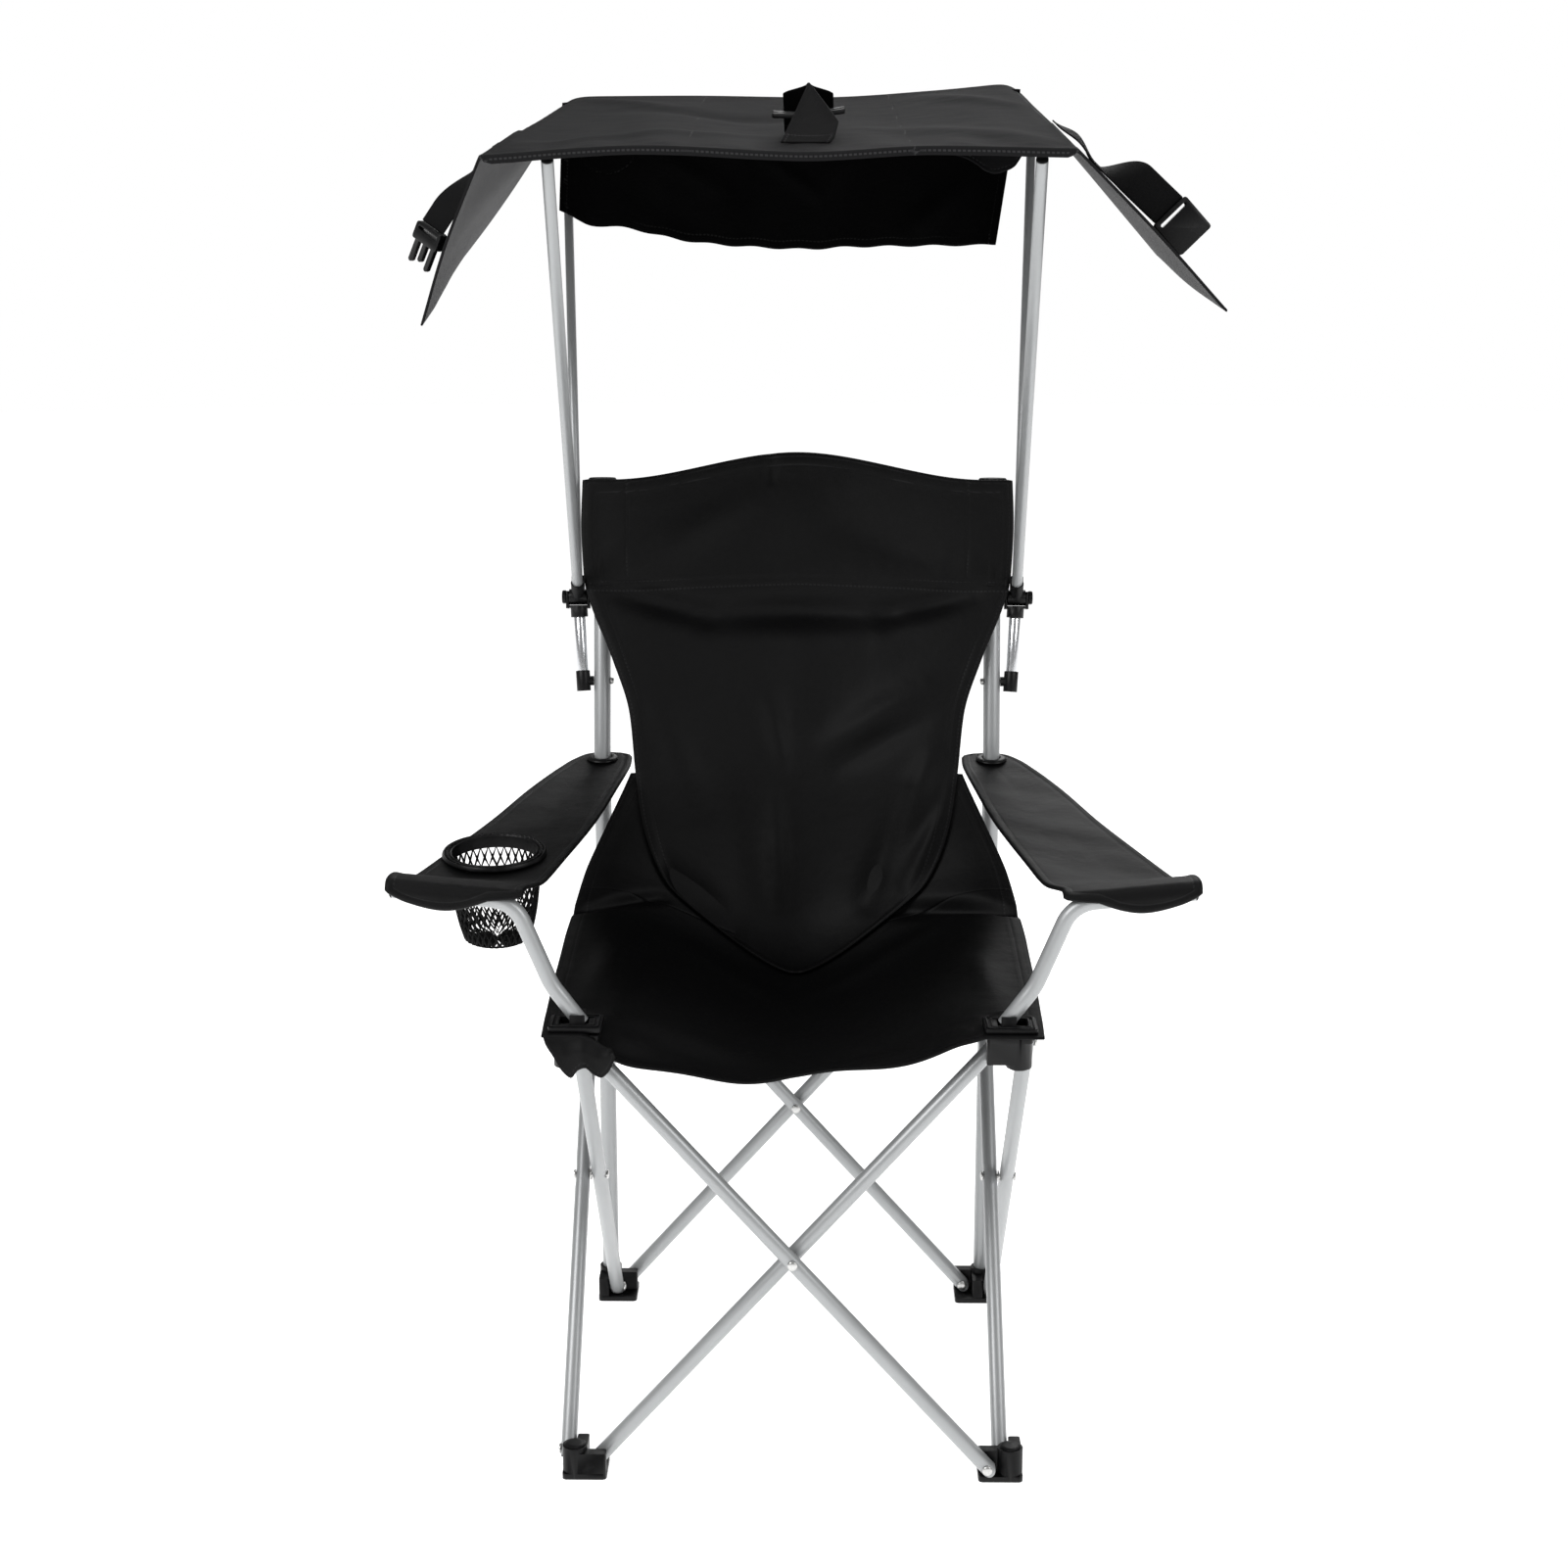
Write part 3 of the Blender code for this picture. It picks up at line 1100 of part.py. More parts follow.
# The flap's corners are shares of the rear pole tips' distance out; its drops are below the tips
FLAP_TOP_SHARES = (-0.9925, 0.9098)
FLAP_BOTTOM_SHARES = (-1.0414, 0.8647)
FLAP_FORWARD = 0.016
FLAP_Y = REAR_POLE_TIP[1] - FLAP_FORWARD
FLAP_TOP_GAP = 0.0025
FLAP_LEFT_DROP = 0.112
FLAP_MIDDLE_DROP = 0.153
FLAP_POLE_GAP = 0.0075
FLAP_FREE_SHARE = 0.16
FLAP_CORNER_SHARE = 0.3333
FLAP_FOLD_DEPTH = 0.006
FLAP_FOLDS = 3
FLAP_ACROSS = 18
FLAP_ALONG = 4


def make_rear_flap():
    axis = mast_point(1, MAST_OUT_HIGH, YOKE_AXIS_UP)
    pole_slope = (REAR_POLE_TIP[1] - axis.y) / (REAR_POLE_TIP[2] - axis.z)
    front_y = FRONT_SECTION[LEFT_FOLD].y
    rear_share = (FLAP_Y - front_y) / (REAR_SECTION[LEFT_FOLD].y - front_y)
    top_left, top_right = (REAR_POLE_TIP[0] * share for share in FLAP_TOP_SHARES)
    bottom_left, bottom_right = (REAR_POLE_TIP[0] * share for share in FLAP_BOTTOM_SHARES)

    def point_at(i, j):
        top_x = top_left + (top_right - top_left) * i
        bottom_x = bottom_left + (bottom_right - bottom_left) * i
        top_z = canopy_height(top_x, rear_share) - CANOPY_THICKNESS * HALF_SHARE - FLAP_TOP_GAP
        drop = FLAP_LEFT_DROP + (FLAP_MIDDLE_DROP - FLAP_LEFT_DROP) * smoothstep(i / FLAP_CORNER_SHARE)
        bottom_z = REAR_POLE_TIP[2] - drop
        z = top_z + (bottom_z - top_z) * j
        held = 1 - smoothstep(min(i, 1 - i) / FLAP_FREE_SHARE)
        push = held * (FLAP_POLE_GAP + (top_z - z) * pole_slope)
        wave = (1 - held) * FLAP_FOLD_DEPTH * math.sin(4 * QUARTER_TURN * FLAP_FOLDS * i) * j
        return (top_x + (bottom_x - top_x) * j, FLAP_Y - push - wave, z)

    flap = sheet("flap", point_at, FLAP_ACROSS, FLAP_ALONG, CLOTH_THICKNESS)
    finished(flap, "rear_flap", CANOPY_CLOTH, point_at(HALF_SHARE, 0))


# Webbing straps with side-release buckles on the wings

WEBBING_THICKNESS = 0.0016
STRAP_WIDTH = 0.038
STRAP_STEPS = 10
STRAP_CURVE_SHARE = 1.5
STRAP_TURN_START_SHARE = 0.15
STRAP_LIFTED_SHARE = 0.7
BUCKLE_WIDTH = 0.044
BUCKLE_THICKNESS = 0.009
BUCKLE_CORNER_RADIUS = 0.003
BUCKLE_SLOT = 0.0035
BUCKLE_BAR = 0.0045
HOUSING_LENGTH = 0.042
HOUSING_WALL = 0.0018
HOUSING_POCKET = 0.024
FRAME_LENGTH = 0.020
PRONG_LENGTH = 0.026
PRONG_WIDTH = 0.0065
PRONG_THICKNESS = 0.005
PRONG_PITCH = 0.0145
PRONG_ROOT = 0.002
MIDDLE_PRONG_SHARE = 0.8
# Wing straps: places along the canopy's section lines where each starts and ends with its share from
# front to rear, how far its end stands off the cloth, and how far it has turned there onto its edge
LEFT_STRAP_SHARES = (1.96, 0.92, 0.20)
RIGHT_STRAP_SHARES = (6.04, 7.302, 0.38)
LEFT_STRAP_LIFT = 0.0225
RIGHT_STRAP_LIFT = 0.0255
LEFT_STRAP_TURN = math.radians(42)
RIGHT_STRAP_TURN = math.radians(78)


def strap_point(strap, share, across):
    """Point on a wing strap's middle surface; across runs from -1 to 1 over its width."""
    start, end, depth, lift, end_turn = strap
    place = start + (end - start) * share
    normal = canopy_normal(place, depth)
    step = PLACE_STEP_SHARE
    along = (canopy_point(place, depth + step) - canopy_point(place, depth - step)).normalized()
    resting = (CANOPY_THICKNESS + WEBBING_THICKNESS) * HALF_SHARE + CLOTH_GAP
    height = resting + lift * smoothstep(share / STRAP_LIFTED_SHARE)
    turn = end_turn * smoothstep((share - STRAP_TURN_START_SHARE) / (1 - STRAP_TURN_START_SHARE))
    over = along * math.cos(turn) + normal * math.sin(turn)
    return canopy_point(place, depth) + normal * height + over * across * STRAP_WIDTH * HALF_SHARE


def bar_slot(centre_y, frame):
    """Cutter for the slot beside a webbing bar, across the buckle."""
    reach = BUCKLE_WIDTH * HALF_SHARE - BUCKLE_BAR
    half = BUCKLE_SLOT * HALF_SHARE
    outline = rounded_outline(-reach, reach, centre_y - half, centre_y + half, BUCKLE_SLOT * CORNER_SHARE, 1)
    return prism("slot", outline, -BUCKLE_THICKNESS, BUCKLE_THICKNESS, frame)


def prongs(root_y, way, frame):
    """Three spring prongs that stand out of a buckle's insert along its y."""
    bars = []
    for column in (-1, 0, 1):
        x = column * PRONG_PITCH
        tip = root_y + way * (PRONG_LENGTH if column else PRONG_LENGTH * MIDDLE_PRONG_SHARE)
        base = root_y - way * PRONG_ROOT
        outline = rounded_outline(x - PRONG_WIDTH * HALF_SHARE, x + PRONG_WIDTH * HALF_SHARE, min(base, tip),
                                  max(base, tip), PRONG_ROOT, 1)
        bars.append(prism("prong", outline, -PRONG_THICKNESS * HALF_SHARE, PRONG_THICKNESS * HALF_SHARE, frame))
    return bars


def buckle_plate(length, frame):
    half = BUCKLE_WIDTH * HALF_SHARE
    outline = rounded_outline(-half, half, 0, length, BUCKLE_CORNER_RADIUS, 2)
    return prism("plate", outline, -BUCKLE_THICKNESS * HALF_SHARE, BUCKLE_THICKNESS * HALF_SHARE, frame)


def make_buckle_insert(name, frame):
    slot = bar_slot(BUCKLE_BAR + BUCKLE_SLOT * HALF_SHARE, frame)
    insert = combined("insert", buckle_plate(FRAME_LENGTH, frame), prongs(FRAME_LENGTH, 1, frame), (slot,))
    finished(insert, name, PLASTIC, frame.translation)


def make_buckle_housing(name, frame):
    slot = bar_slot(BUCKLE_BAR + BUCKLE_SLOT * HALF_SHARE, frame)
    reach = BUCKLE_WIDTH * HALF_SHARE - HOUSING_WALL
    outline = rounded_outline(-reach, reach, HOUSING_LENGTH - HOUSING_POCKET, HOUSING_LENGTH + OVERRUN,
                              BUCKLE_SLOT * CORNER_SHARE, 1)
    depth = BUCKLE_THICKNESS * HALF_SHARE - HOUSING_WALL
    mouth = prism("mouth", outline, -depth, depth, frame)
    housing = combined("housing", buckle_plate(HOUSING_LENGTH, frame), (), (slot, mouth))
    finished(housing, name, PLASTIC, frame.translation)


def make_wing_straps():
    for name, shares, lift, turn, make_end in (
            ("left", LEFT_STRAP_SHARES, LEFT_STRAP_LIFT, LEFT_STRAP_TURN, make_buckle_insert),
            ("right", RIGHT_STRAP_SHARES, RIGHT_STRAP_LIFT, RIGHT_STRAP_TURN, make_buckle_housing)):
        strap = (*shares, lift, turn)
        web = sheet("strap", lambda i, j, s=strap: strap_point(s, j, 2 * i - 1), 2, STRAP_STEPS,
                    WEBBING_THICKNESS)
        finished(web, name + "_strap", WEBBING, strap_point(strap, 0, 0))
        end = strap_point(strap, 1, 0)
        along = (end - strap_point(strap, 1 - PLACE_STEP_SHARE, 0)).normalized()
        across = (strap_point(strap, 1, 1) - strap_point(strap, 1, -1)).normalized()
        frame = Matrix((across, along, across.cross(along))).transposed().to_4x4()
        make_end(name + "_strap_buckle", Matrix.Translation(end + along * TOUCH_GAP * 2) @ frame)


# Carry handle: webbing folded to a peak over a double buckle insert, on the canopy's top

HANDLE_PLACE = CANOPY_LAST * HALF_SHARE
PANEL_WIDTH = 0.130
HANDLE_FOOT_SHARES = (0.160, 0.375)
HANDLE_RISE = 0.045
HANDLE_FOOT_WIDTH = 0.047
HANDLE_APEX_WIDTH = 0.008
HANDLE_STEPS = 16
HANDLE_BUCKLE_RISE = 0.0245
HANDLE_BUCKLE_WIDTH_SHARE = 0.94
HANDLE_SLOT_SHARES = (0.25, 0.75)


def make_handle():
    front, rear = HANDLE_FOOT_SHARES

    def point_at(i, j):
        share = front + (rear - front) * j
        rise = 1 - abs(2 * j - 1)
        width = HANDLE_FOOT_WIDTH + (HANDLE_APEX_WIDTH - HANDLE_FOOT_WIDTH) * rise ** STRAP_CURVE_SHARE
        ground = canopy_point(HANDLE_PLACE + (2 * i - 1) * width * HALF_SHARE / PANEL_WIDTH, share)
        lift = (CANOPY_THICKNESS + WEBBING_THICKNESS) * HALF_SHARE + CLOTH_GAP
        return (ground.x, ground.y, ground.z + lift + HANDLE_RISE * rise)

    web = sheet("handle", point_at, 2, HANDLE_STEPS, WEBBING_THICKNESS)
    finished(web, "carry_handle", WEBBING, point_at(HALF_SHARE, HALF_SHARE))
    share = (front + rear) * HALF_SHARE
    normal = canopy_normal(HANDLE_PLACE, share)
    centre = canopy_point(HANDLE_PLACE, share) + normal * HANDLE_BUCKLE_RISE
    along = Vector((1, 0, 0))
    along = (along - normal * along.dot(normal)).normalized()
    turn = Matrix((along.cross(normal), along, normal)).transposed().to_4x4()
    turn = turn @ Matrix.Diagonal((HANDLE_BUCKLE_WIDTH_SHARE, 1, 1, 1))
    frame = Matrix.Translation(centre - along * FRAME_LENGTH * HALF_SHARE) @ turn
    insert = combined("insert", buckle_plate(FRAME_LENGTH, frame),
                      prongs(FRAME_LENGTH, 1, frame) + prongs(0, -1, frame),
                      [bar_slot(FRAME_LENGTH * share, frame) for share in HANDLE_SLOT_SHARES])
    finished(insert, "handle_buckle", PLASTIC, centre)


# The finished chair, moved so that its bounding box stands centred over the origin

def place_on_origin():
    bpy.context.view_layer.update()
    pieces = [obj for obj in bpy.data.objects if obj.type == "MESH"]
    corners = [obj.matrix_world @ vertex.co for obj in pieces for vertex in obj.data.vertices]
    low = [min(corner[k] for corner in corners) for k in range(3)]
    high = [max(corner[k] for corner in corners) for k in range(3)]
    root = bpy.data.objects.new("chair", None)
    bpy.context.collection.objects.link(root)
    root.location = (-(low[0] + high[0]) * HALF_SHARE, -(low[1] + high[1]) * HALF_SHARE, -low[2])
    for obj in pieces:
        obj.parent = root


clear_scene()
make_feet()
make_sliders()
make_front_hubs()
make_scissors()
make_rivets()
make_back_posts()
make_arm_posts()
make_corner_plates()
make_seat()
make_back()
make_arms()
make_cup_holder()
make_canopy_supports()
make_canopy_cloth()
make_rear_flap()
make_wing_straps()
make_handle()
place_on_origin()
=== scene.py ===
"""Folding camp chair with a sun canopy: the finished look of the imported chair."""
import json
import math

import bpy
import numpy as np
from mathutils import Matrix, Vector


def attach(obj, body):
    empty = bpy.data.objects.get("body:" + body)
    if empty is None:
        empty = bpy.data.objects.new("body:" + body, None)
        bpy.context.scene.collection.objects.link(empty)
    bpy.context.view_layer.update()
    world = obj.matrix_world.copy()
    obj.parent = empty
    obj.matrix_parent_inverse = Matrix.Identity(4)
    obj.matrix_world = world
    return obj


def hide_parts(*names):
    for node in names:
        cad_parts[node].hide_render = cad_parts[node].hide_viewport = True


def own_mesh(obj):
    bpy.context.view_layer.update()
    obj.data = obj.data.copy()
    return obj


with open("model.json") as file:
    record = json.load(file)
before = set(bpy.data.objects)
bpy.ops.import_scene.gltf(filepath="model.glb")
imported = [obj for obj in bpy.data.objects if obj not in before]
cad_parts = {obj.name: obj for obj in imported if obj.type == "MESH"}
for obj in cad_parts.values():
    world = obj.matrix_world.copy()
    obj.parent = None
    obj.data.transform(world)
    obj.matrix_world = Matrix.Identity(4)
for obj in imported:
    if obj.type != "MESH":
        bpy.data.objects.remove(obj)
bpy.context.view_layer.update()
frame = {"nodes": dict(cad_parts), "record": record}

# ---------------------------------------------------------------- the studio
# A pale floor that runs out into a white room, lit by wide soft lamps, with the
# camera where the photograph was taken from: in front, a little above the arms.
bpy.ops.object.select_all(action="DESELECT")
bpy.ops.object.camera_add(location=(0.01638, -2.57537, 1.229),
                          rotation=(math.radians(77.255), 0, math.radians(0.755)))
camera = bpy.context.object
camera.data.lens = 55.43
camera.data.sensor_width = 36
bpy.context.scene.camera = camera
bpy.context.scene.view_settings.view_transform = "Standard"

bpy.ops.mesh.primitive_circle_add(vertices=96, radius=16, fill_type="NGON")
floor = bpy.context.object
floor.name = "studio_floor"


def soft_lamp(name, place, aim, size, watts):
    """Square soft box pointed at a spot on the chair."""
    turn = (Vector(aim) - Vector(place)).to_track_quat("-Z", "Y").to_euler()
    bpy.ops.object.light_add(type="AREA", location=place, rotation=turn)
    lamp = bpy.context.object
    lamp.name = name
    lamp.data.size = size
    lamp.data.energy = watts


soft_lamp("front_left_lamp", (-2.2, -2.2, 2.6), (0, 0, 0.7), 1.6, 62)
soft_lamp("front_right_lamp", (2.4, -1.8, 2.2), (0, 0, 0.8), 1.4, 30)
soft_lamp("overhead_lamp", (0.1, 0.2, 3.2), (0, 0, 0.6), 2.0, 34)
soft_lamp("rear_lamp", (0.6, 2.8, 2.4), (0, 0, 0.8), 1.8, 26)

room = bpy.data.worlds.new("white_room")
room.use_nodes = True
walls = room.node_tree.nodes["Background"]
walls.inputs["Color"].default_value = (1, 1, 1, 1)
seen = room.node_tree.nodes.new("ShaderNodeLightPath")
level = room.node_tree.nodes.new("ShaderNodeMapRange")
level.inputs["To Min"].default_value = 0.26
level.inputs["To Max"].default_value = 1.0
room.node_tree.links.new(seen.outputs["Is Camera Ray"], level.inputs["Value"])
room.node_tree.links.new(level.outputs["Result"], walls.inputs["Strength"])
bpy.context.scene.world = room


class Signal:
    """A shader socket that can stand in arithmetic; each operator adds its Math node."""

    def __init__(self, tree, socket):
        self.tree = tree
        self.socket = socket

    def maths(self, operation, *values):
        node = self.tree.nodes.new("ShaderNodeMath")
        node.operation = operation
        for socket, value in zip(node.inputs, values):
            if isinstance(value, Signal):
                self.tree.links.new(value.socket, socket)
            else:
                socket.default_value = value
        return Signal(self.tree, node.outputs[0])

    def __add__(self, other):
        return self.maths("ADD", self, other)

    def __radd__(self, other):
        return self.maths("ADD", other, self)

    def __sub__(self, other):
        return self.maths("SUBTRACT", self, other)

    def __rsub__(self, other):
        return self.maths("SUBTRACT", other, self)

    def __mul__(self, other):
        return self.maths("MULTIPLY", self, other)

    def __rmul__(self, other):
        return self.maths("MULTIPLY", other, self)

    def __truediv__(self, other):
        return self.maths("DIVIDE", self, other)

    def __lt__(self, other):
        return self.maths("LESS_THAN", self, other)

    def __gt__(self, other):
        return self.maths("GREATER_THAN", self, other)

    def wave(self, length):
        """Sine that repeats over a length."""
        return self.maths("SINE", self * (2 * math.pi / length))

    def remainder(self, length):
        """Share of the way through each length."""
        return self.maths("FRACT", self / length)

    def size(self):
        return self.maths("ABSOLUTE", self)


class Finish:
    """A surface finish, wired a node at a time into its Principled shader."""

    def __init__(self, name, **constants):
        self.material = bpy.data.materials.new(name)
        self.material.use_nodes = True
        self.tree = self.material.node_tree
        self.shader = self.tree.nodes["Principled BSDF"]
        for socket, value in constants.items():
            self.shader.inputs[socket.replace("_", " ")].default_value = value

    def feed(self, socket, value):
        if isinstance(value, Signal):
            self.tree.links.new(value.socket, socket)
        else:
            socket.default_value = value

    def node(self, kind, settings, inputs, output=0):
        """Adds a node: its settings first, then the values or links of its sockets."""
        node = self.tree.nodes.new("ShaderNode" + kind)
        for setting, value in settings.items():
            if setting == "stops":
                for stop, (place, grey) in zip(node.color_ramp.elements, value):
                    stop.position = place
                    stop.color = (grey, grey, grey, 1)
            else:
                setattr(node, setting, value)
        for socket, value in inputs.items():
            self.feed(node.inputs[socket], value)
        return Signal(self.tree, node.outputs[output])

    def noise(self, where, scale, detail, stretch=(1, 1, 1)):
        placed = self.node("Mapping", {}, {"Vector": where, "Scale": stretch})
        return self.node("TexNoise", {}, {"Vector": placed, "Scale": scale, "Detail": detail})

    def surface(self):
        """Where a point lies on the piece, in metres."""
        return self.node("TexCoord", {}, {}, 3)

    def blend(self, share, low, high):
        """Colour between two colours, each three numbers or a signal."""
        low, high = (colour if isinstance(colour, Signal) else (*colour, 1) for colour in (low, high))
        return self.node("Mix", {"data_type": "RGBA"}, {0: share, 6: low, 7: high}, 2)

    def bumped(self, height, distance, strength, under=None):
        inputs = {"Height": height, "Distance": distance, "Strength": strength}
        if under is not None:
            inputs["Normal"] = under
        return self.node("Bump", {}, inputs)

    def wear(self, colour, roughness=None, normal=None):
        """Feeds the shader what varies over the piece and hands the material out."""
        for socket, value in (("Base Color", colour), ("Roughness", roughness), ("Normal", normal)):
            if value is not None:
                self.feed(self.shader.inputs[socket], value)
        return self.material


pale = Finish("pale_floor", Roughness=0.9, Specular_IOR_Level=0.0, Emission_Strength=0.80)
pale_mottle = pale.noise(pale.surface(), 1.3, 2.0)
pale.wear(pale.blend(pale_mottle, (0.93, 0.93, 0.93), (0.96, 0.96, 0.955)))
floor.data.materials.append(pale.material)

# ---------------------------------------------------------------- leg tubes
# Eight 16 mm steel tubes in four crossed pairs, powder coated silver grey, with
# round pressed ends on the corner rivets and a slight flat under the middle rivet.
HOME = Vector((-0.00462277, -0.11137269, 0.0))
bodies = frame["record"]["behaviour"]["bodies"]
body_of = {node: body for body, nodes in bodies.items() for node in nodes}


def at(place):
    """A place measured from the middle of the legs, in the chair's frame."""
    return Vector(place) + HOME


def only(piece):
    """Selects one piece and nothing else."""
    bpy.ops.object.select_all(action="DESELECT")
    piece.select_set(True)
    bpy.context.view_layer.objects.active = piece
    return piece


def modified(piece, kind, **settings):
    """Gives the piece a modifier and applies it."""
    only(piece)
    modifier = piece.modifiers.new(kind.lower(), kind)
    for setting, value in settings.items():
        setattr(modifier, setting, value)
    bpy.ops.object.modifier_apply(modifier=modifier.name)
    return piece


def new_piece(name, data):
    """Puts new data into the scene as a piece and selects it."""
    piece = bpy.data.objects.new(name, data)
    bpy.context.collection.objects.link(piece)
    return only(piece)


def drawn_tube(name, path, radius):
    """Round skin of a tube drawn along a path, open at both ends."""
    line = bpy.data.curves.new(name, "CURVE")
    line.dimensions = "3D"
    line.bevel_depth = radius
    line.bevel_resolution = 14
    spline = line.splines.new("POLY")
    spline.points.add(len(path) - 1)
    for point, place in zip(spline.points, path):
        point.co = (*place, 1)
    new_piece(name, line)
    bpy.ops.object.convert(target="MESH")
    return bpy.context.object


def walled(tube, wall):
    """Gives a tube's skin its wall and eases both rims."""
    modified(tube, "SOLIDIFY", thickness=wall, offset=-1)
    modified(tube, "BEVEL", width=0.0003, segments=2, limit_method="ANGLE", angle_limit=math.radians(60))
    only(tube)
    bpy.ops.object.shade_smooth_by_angle(angle=math.radians(40))
    return tube


def carried(piece, material, body):
    """Gives a piece its material and the body that carries it."""
    piece.data.materials.append(material)
    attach(piece, body)
    return piece


def stands_for(piece, material, node):
    """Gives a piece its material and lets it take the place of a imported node."""
    carried(piece, material, body_of[node])
    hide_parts(node)
    return piece


coat = Finish("silver_powder_coat", Metallic=0.4, Coat_Weight=0.2, Coat_Roughness=0.25)
coat_place = coat.surface()
orange_peel = coat.noise(coat_place, 1400, 2.0)
coat_cloud = coat.noise(coat_place, 14, 4.0)
coat_scuff = coat.noise(coat_place, 160, 5.0, (1, 1, 0.12))
scuffed = coat.node("ValToRGB", {"stops": ((0.62, 0.0), (0.75, 1.0))}, {"Fac": coat_scuff})
coat_colour = coat.blend(coat_cloud * 0.8 + scuffed * 0.2, (0.33, 0.34, 0.345), (0.42, 0.43, 0.435))
powder_coat = coat.wear(coat_colour, 0.34 + coat_cloud * 0.10 + scuffed * 0.08,
                        coat.bumped(orange_peel, 0.00006, 0.35))

CORNER = 0.221
NEAR = CORNER - 0.009
FAR = CORNER + 0.009
SPAN = 0.197
FOOT_PIN = 0.0155
HUB_PIN = 0.457
LEG_RADIUS = 0.008
LEG_WALL = 0.0012
EAR_RADIUS = 0.0085
PRESSED_HALF = 0.016
leg_tubes = {
    "front_outer_tube": ((SPAN, -FAR, FOOT_PIN), (-SPAN, -FAR, HUB_PIN)),
    "front_inner_tube": ((-SPAN, -NEAR, FOOT_PIN), (SPAN, -NEAR, HUB_PIN)),
    "rear_outer_tube": ((-SPAN, FAR, FOOT_PIN), (SPAN, FAR, HUB_PIN)),
    "rear_inner_tube": ((SPAN, NEAR, FOOT_PIN), (-SPAN, NEAR, HUB_PIN)),
    "right_inner_tube": ((NEAR, -SPAN, FOOT_PIN), (NEAR, SPAN, HUB_PIN)),
    "right_outer_tube": ((FAR, SPAN, FOOT_PIN), (FAR, -SPAN, HUB_PIN)),
    "left_outer_tube": ((-FAR, -SPAN, FOOT_PIN), (-FAR, SPAN, HUB_PIN)),
    "left_inner_tube": ((-NEAR, SPAN, FOOT_PIN), (-NEAR, -SPAN, HUB_PIN)),
}
for node, (foot, hub) in leg_tubes.items():
    low, high = at(foot), at(hub)
    along = (high - low).normalized()
    rivet_way = Vector((0, 1, 0)) if node.startswith(("front", "rear")) else Vector((1, 0, 0))
    across = rivet_way.cross(along)
    middle = (low + high) / 2
    stops = [low] + [middle + along * step * 0.003 for step in range(-6, 7)] + [high]
    leg = drawn_tube(node.replace("_tube", "_leg"), stops, LEG_RADIUS)
    for vertex in leg.data.vertices:
        from_end = (vertex.co - low).dot(along)
        sideways = (vertex.co - low).dot(across)
        reach = math.sqrt(max(EAR_RADIUS ** 2 - sideways ** 2, 0))
        if from_end < 0.001:
            vertex.co -= along * reach
        elif from_end > (high - low).length - 0.001:
            vertex.co += along * reach
        else:
            near_rivet = max(0, 1 - ((vertex.co - middle).dot(along) / PRESSED_HALF) ** 2)
            vertex.co -= rivet_way * (vertex.co - middle).dot(rivet_way) * 0.05 * near_rivet
    stands_for(walled(leg, LEG_WALL), powder_coat, node)

# ---------------------------------------------------------------- rivets
# Zinc plated tubular rivets. A big one with a washer crosses each pair of legs at its
# middle, and sixteen domed heads show on the corner mouldings.
zinc = Finish("zinc_plate", Metallic=1.0)
zinc_cloud = zinc.noise(zinc.surface(), 420, 4.0)
zinc_plate = zinc.wear(zinc.blend(zinc_cloud, (0.50, 0.50, 0.49), (0.70, 0.70, 0.69)),
                       0.24 + zinc_cloud * 0.22, zinc.bumped(zinc_cloud, 0.00008, 0.3))


def turned(name, profile, place, way, sides=28):
    """Piece of revolution: (radius, height) pairs spun round the way given."""
    mesh = bpy.data.meshes.new(name)
    mesh.from_pydata([(radius, 0, height) for radius, height in profile],
                     [(k, k + 1) for k in range(len(profile) - 1)], [])
    piece = new_piece(name, mesh)
    bpy.ops.object.mode_set(mode="EDIT")
    bpy.ops.mesh.select_all(action="SELECT")
    bpy.ops.mesh.spin(steps=sides, angle=2 * math.pi, center=(0, 0, 0), axis=(0, 0, 1))
    bpy.ops.mesh.select_all(action="SELECT")
    bpy.ops.mesh.remove_doubles(threshold=0.00002)
    bpy.ops.mesh.normals_make_consistent(inside=False)
    bpy.ops.object.mode_set(mode="OBJECT")
    turn = Vector((0, 0, 1)).rotation_difference(Vector(way)).to_matrix().to_4x4()
    piece.data.transform(Matrix.Translation(place) @ turn)
    bpy.ops.object.shade_smooth_by_angle(angle=math.radians(35))
    return piece


def domed(radius, height, start):
    """Profile of a rivet's domed head from its rim to its top."""
    steps = [(radius, start), (radius, start + height * 0.3)]
    for k in range(1, 6):
        turn = math.radians(90) * k / 5
        steps.append((radius * math.cos(turn), start + height * (0.3 + 0.7 * math.sin(turn))))
    steps[-1] = (0, start + height)
    return steps


for side, place, way in (("front", (0, -CORNER), (0, 1, 0)), ("rear", (0, CORNER), (0, 1, 0)),
                         ("left", (-CORNER, 0), (1, 0, 0)), ("right", (CORNER, 0), (1, 0, 0))):
    half = [(0.0065, 0.0007), (0.0025, 0.0007), (0.0025, 0.0172)] + domed(0.0050, 0.0023, 0.0172)
    profile = [(radius, -height) for radius, height in half[::-1]] + half
    rivet = turned(side + "_cross_rivet", profile, at((*place, (FOOT_PIN + HUB_PIN) / 2)), way)
    stands_for(rivet, zinc_plate, side + "_rivet")

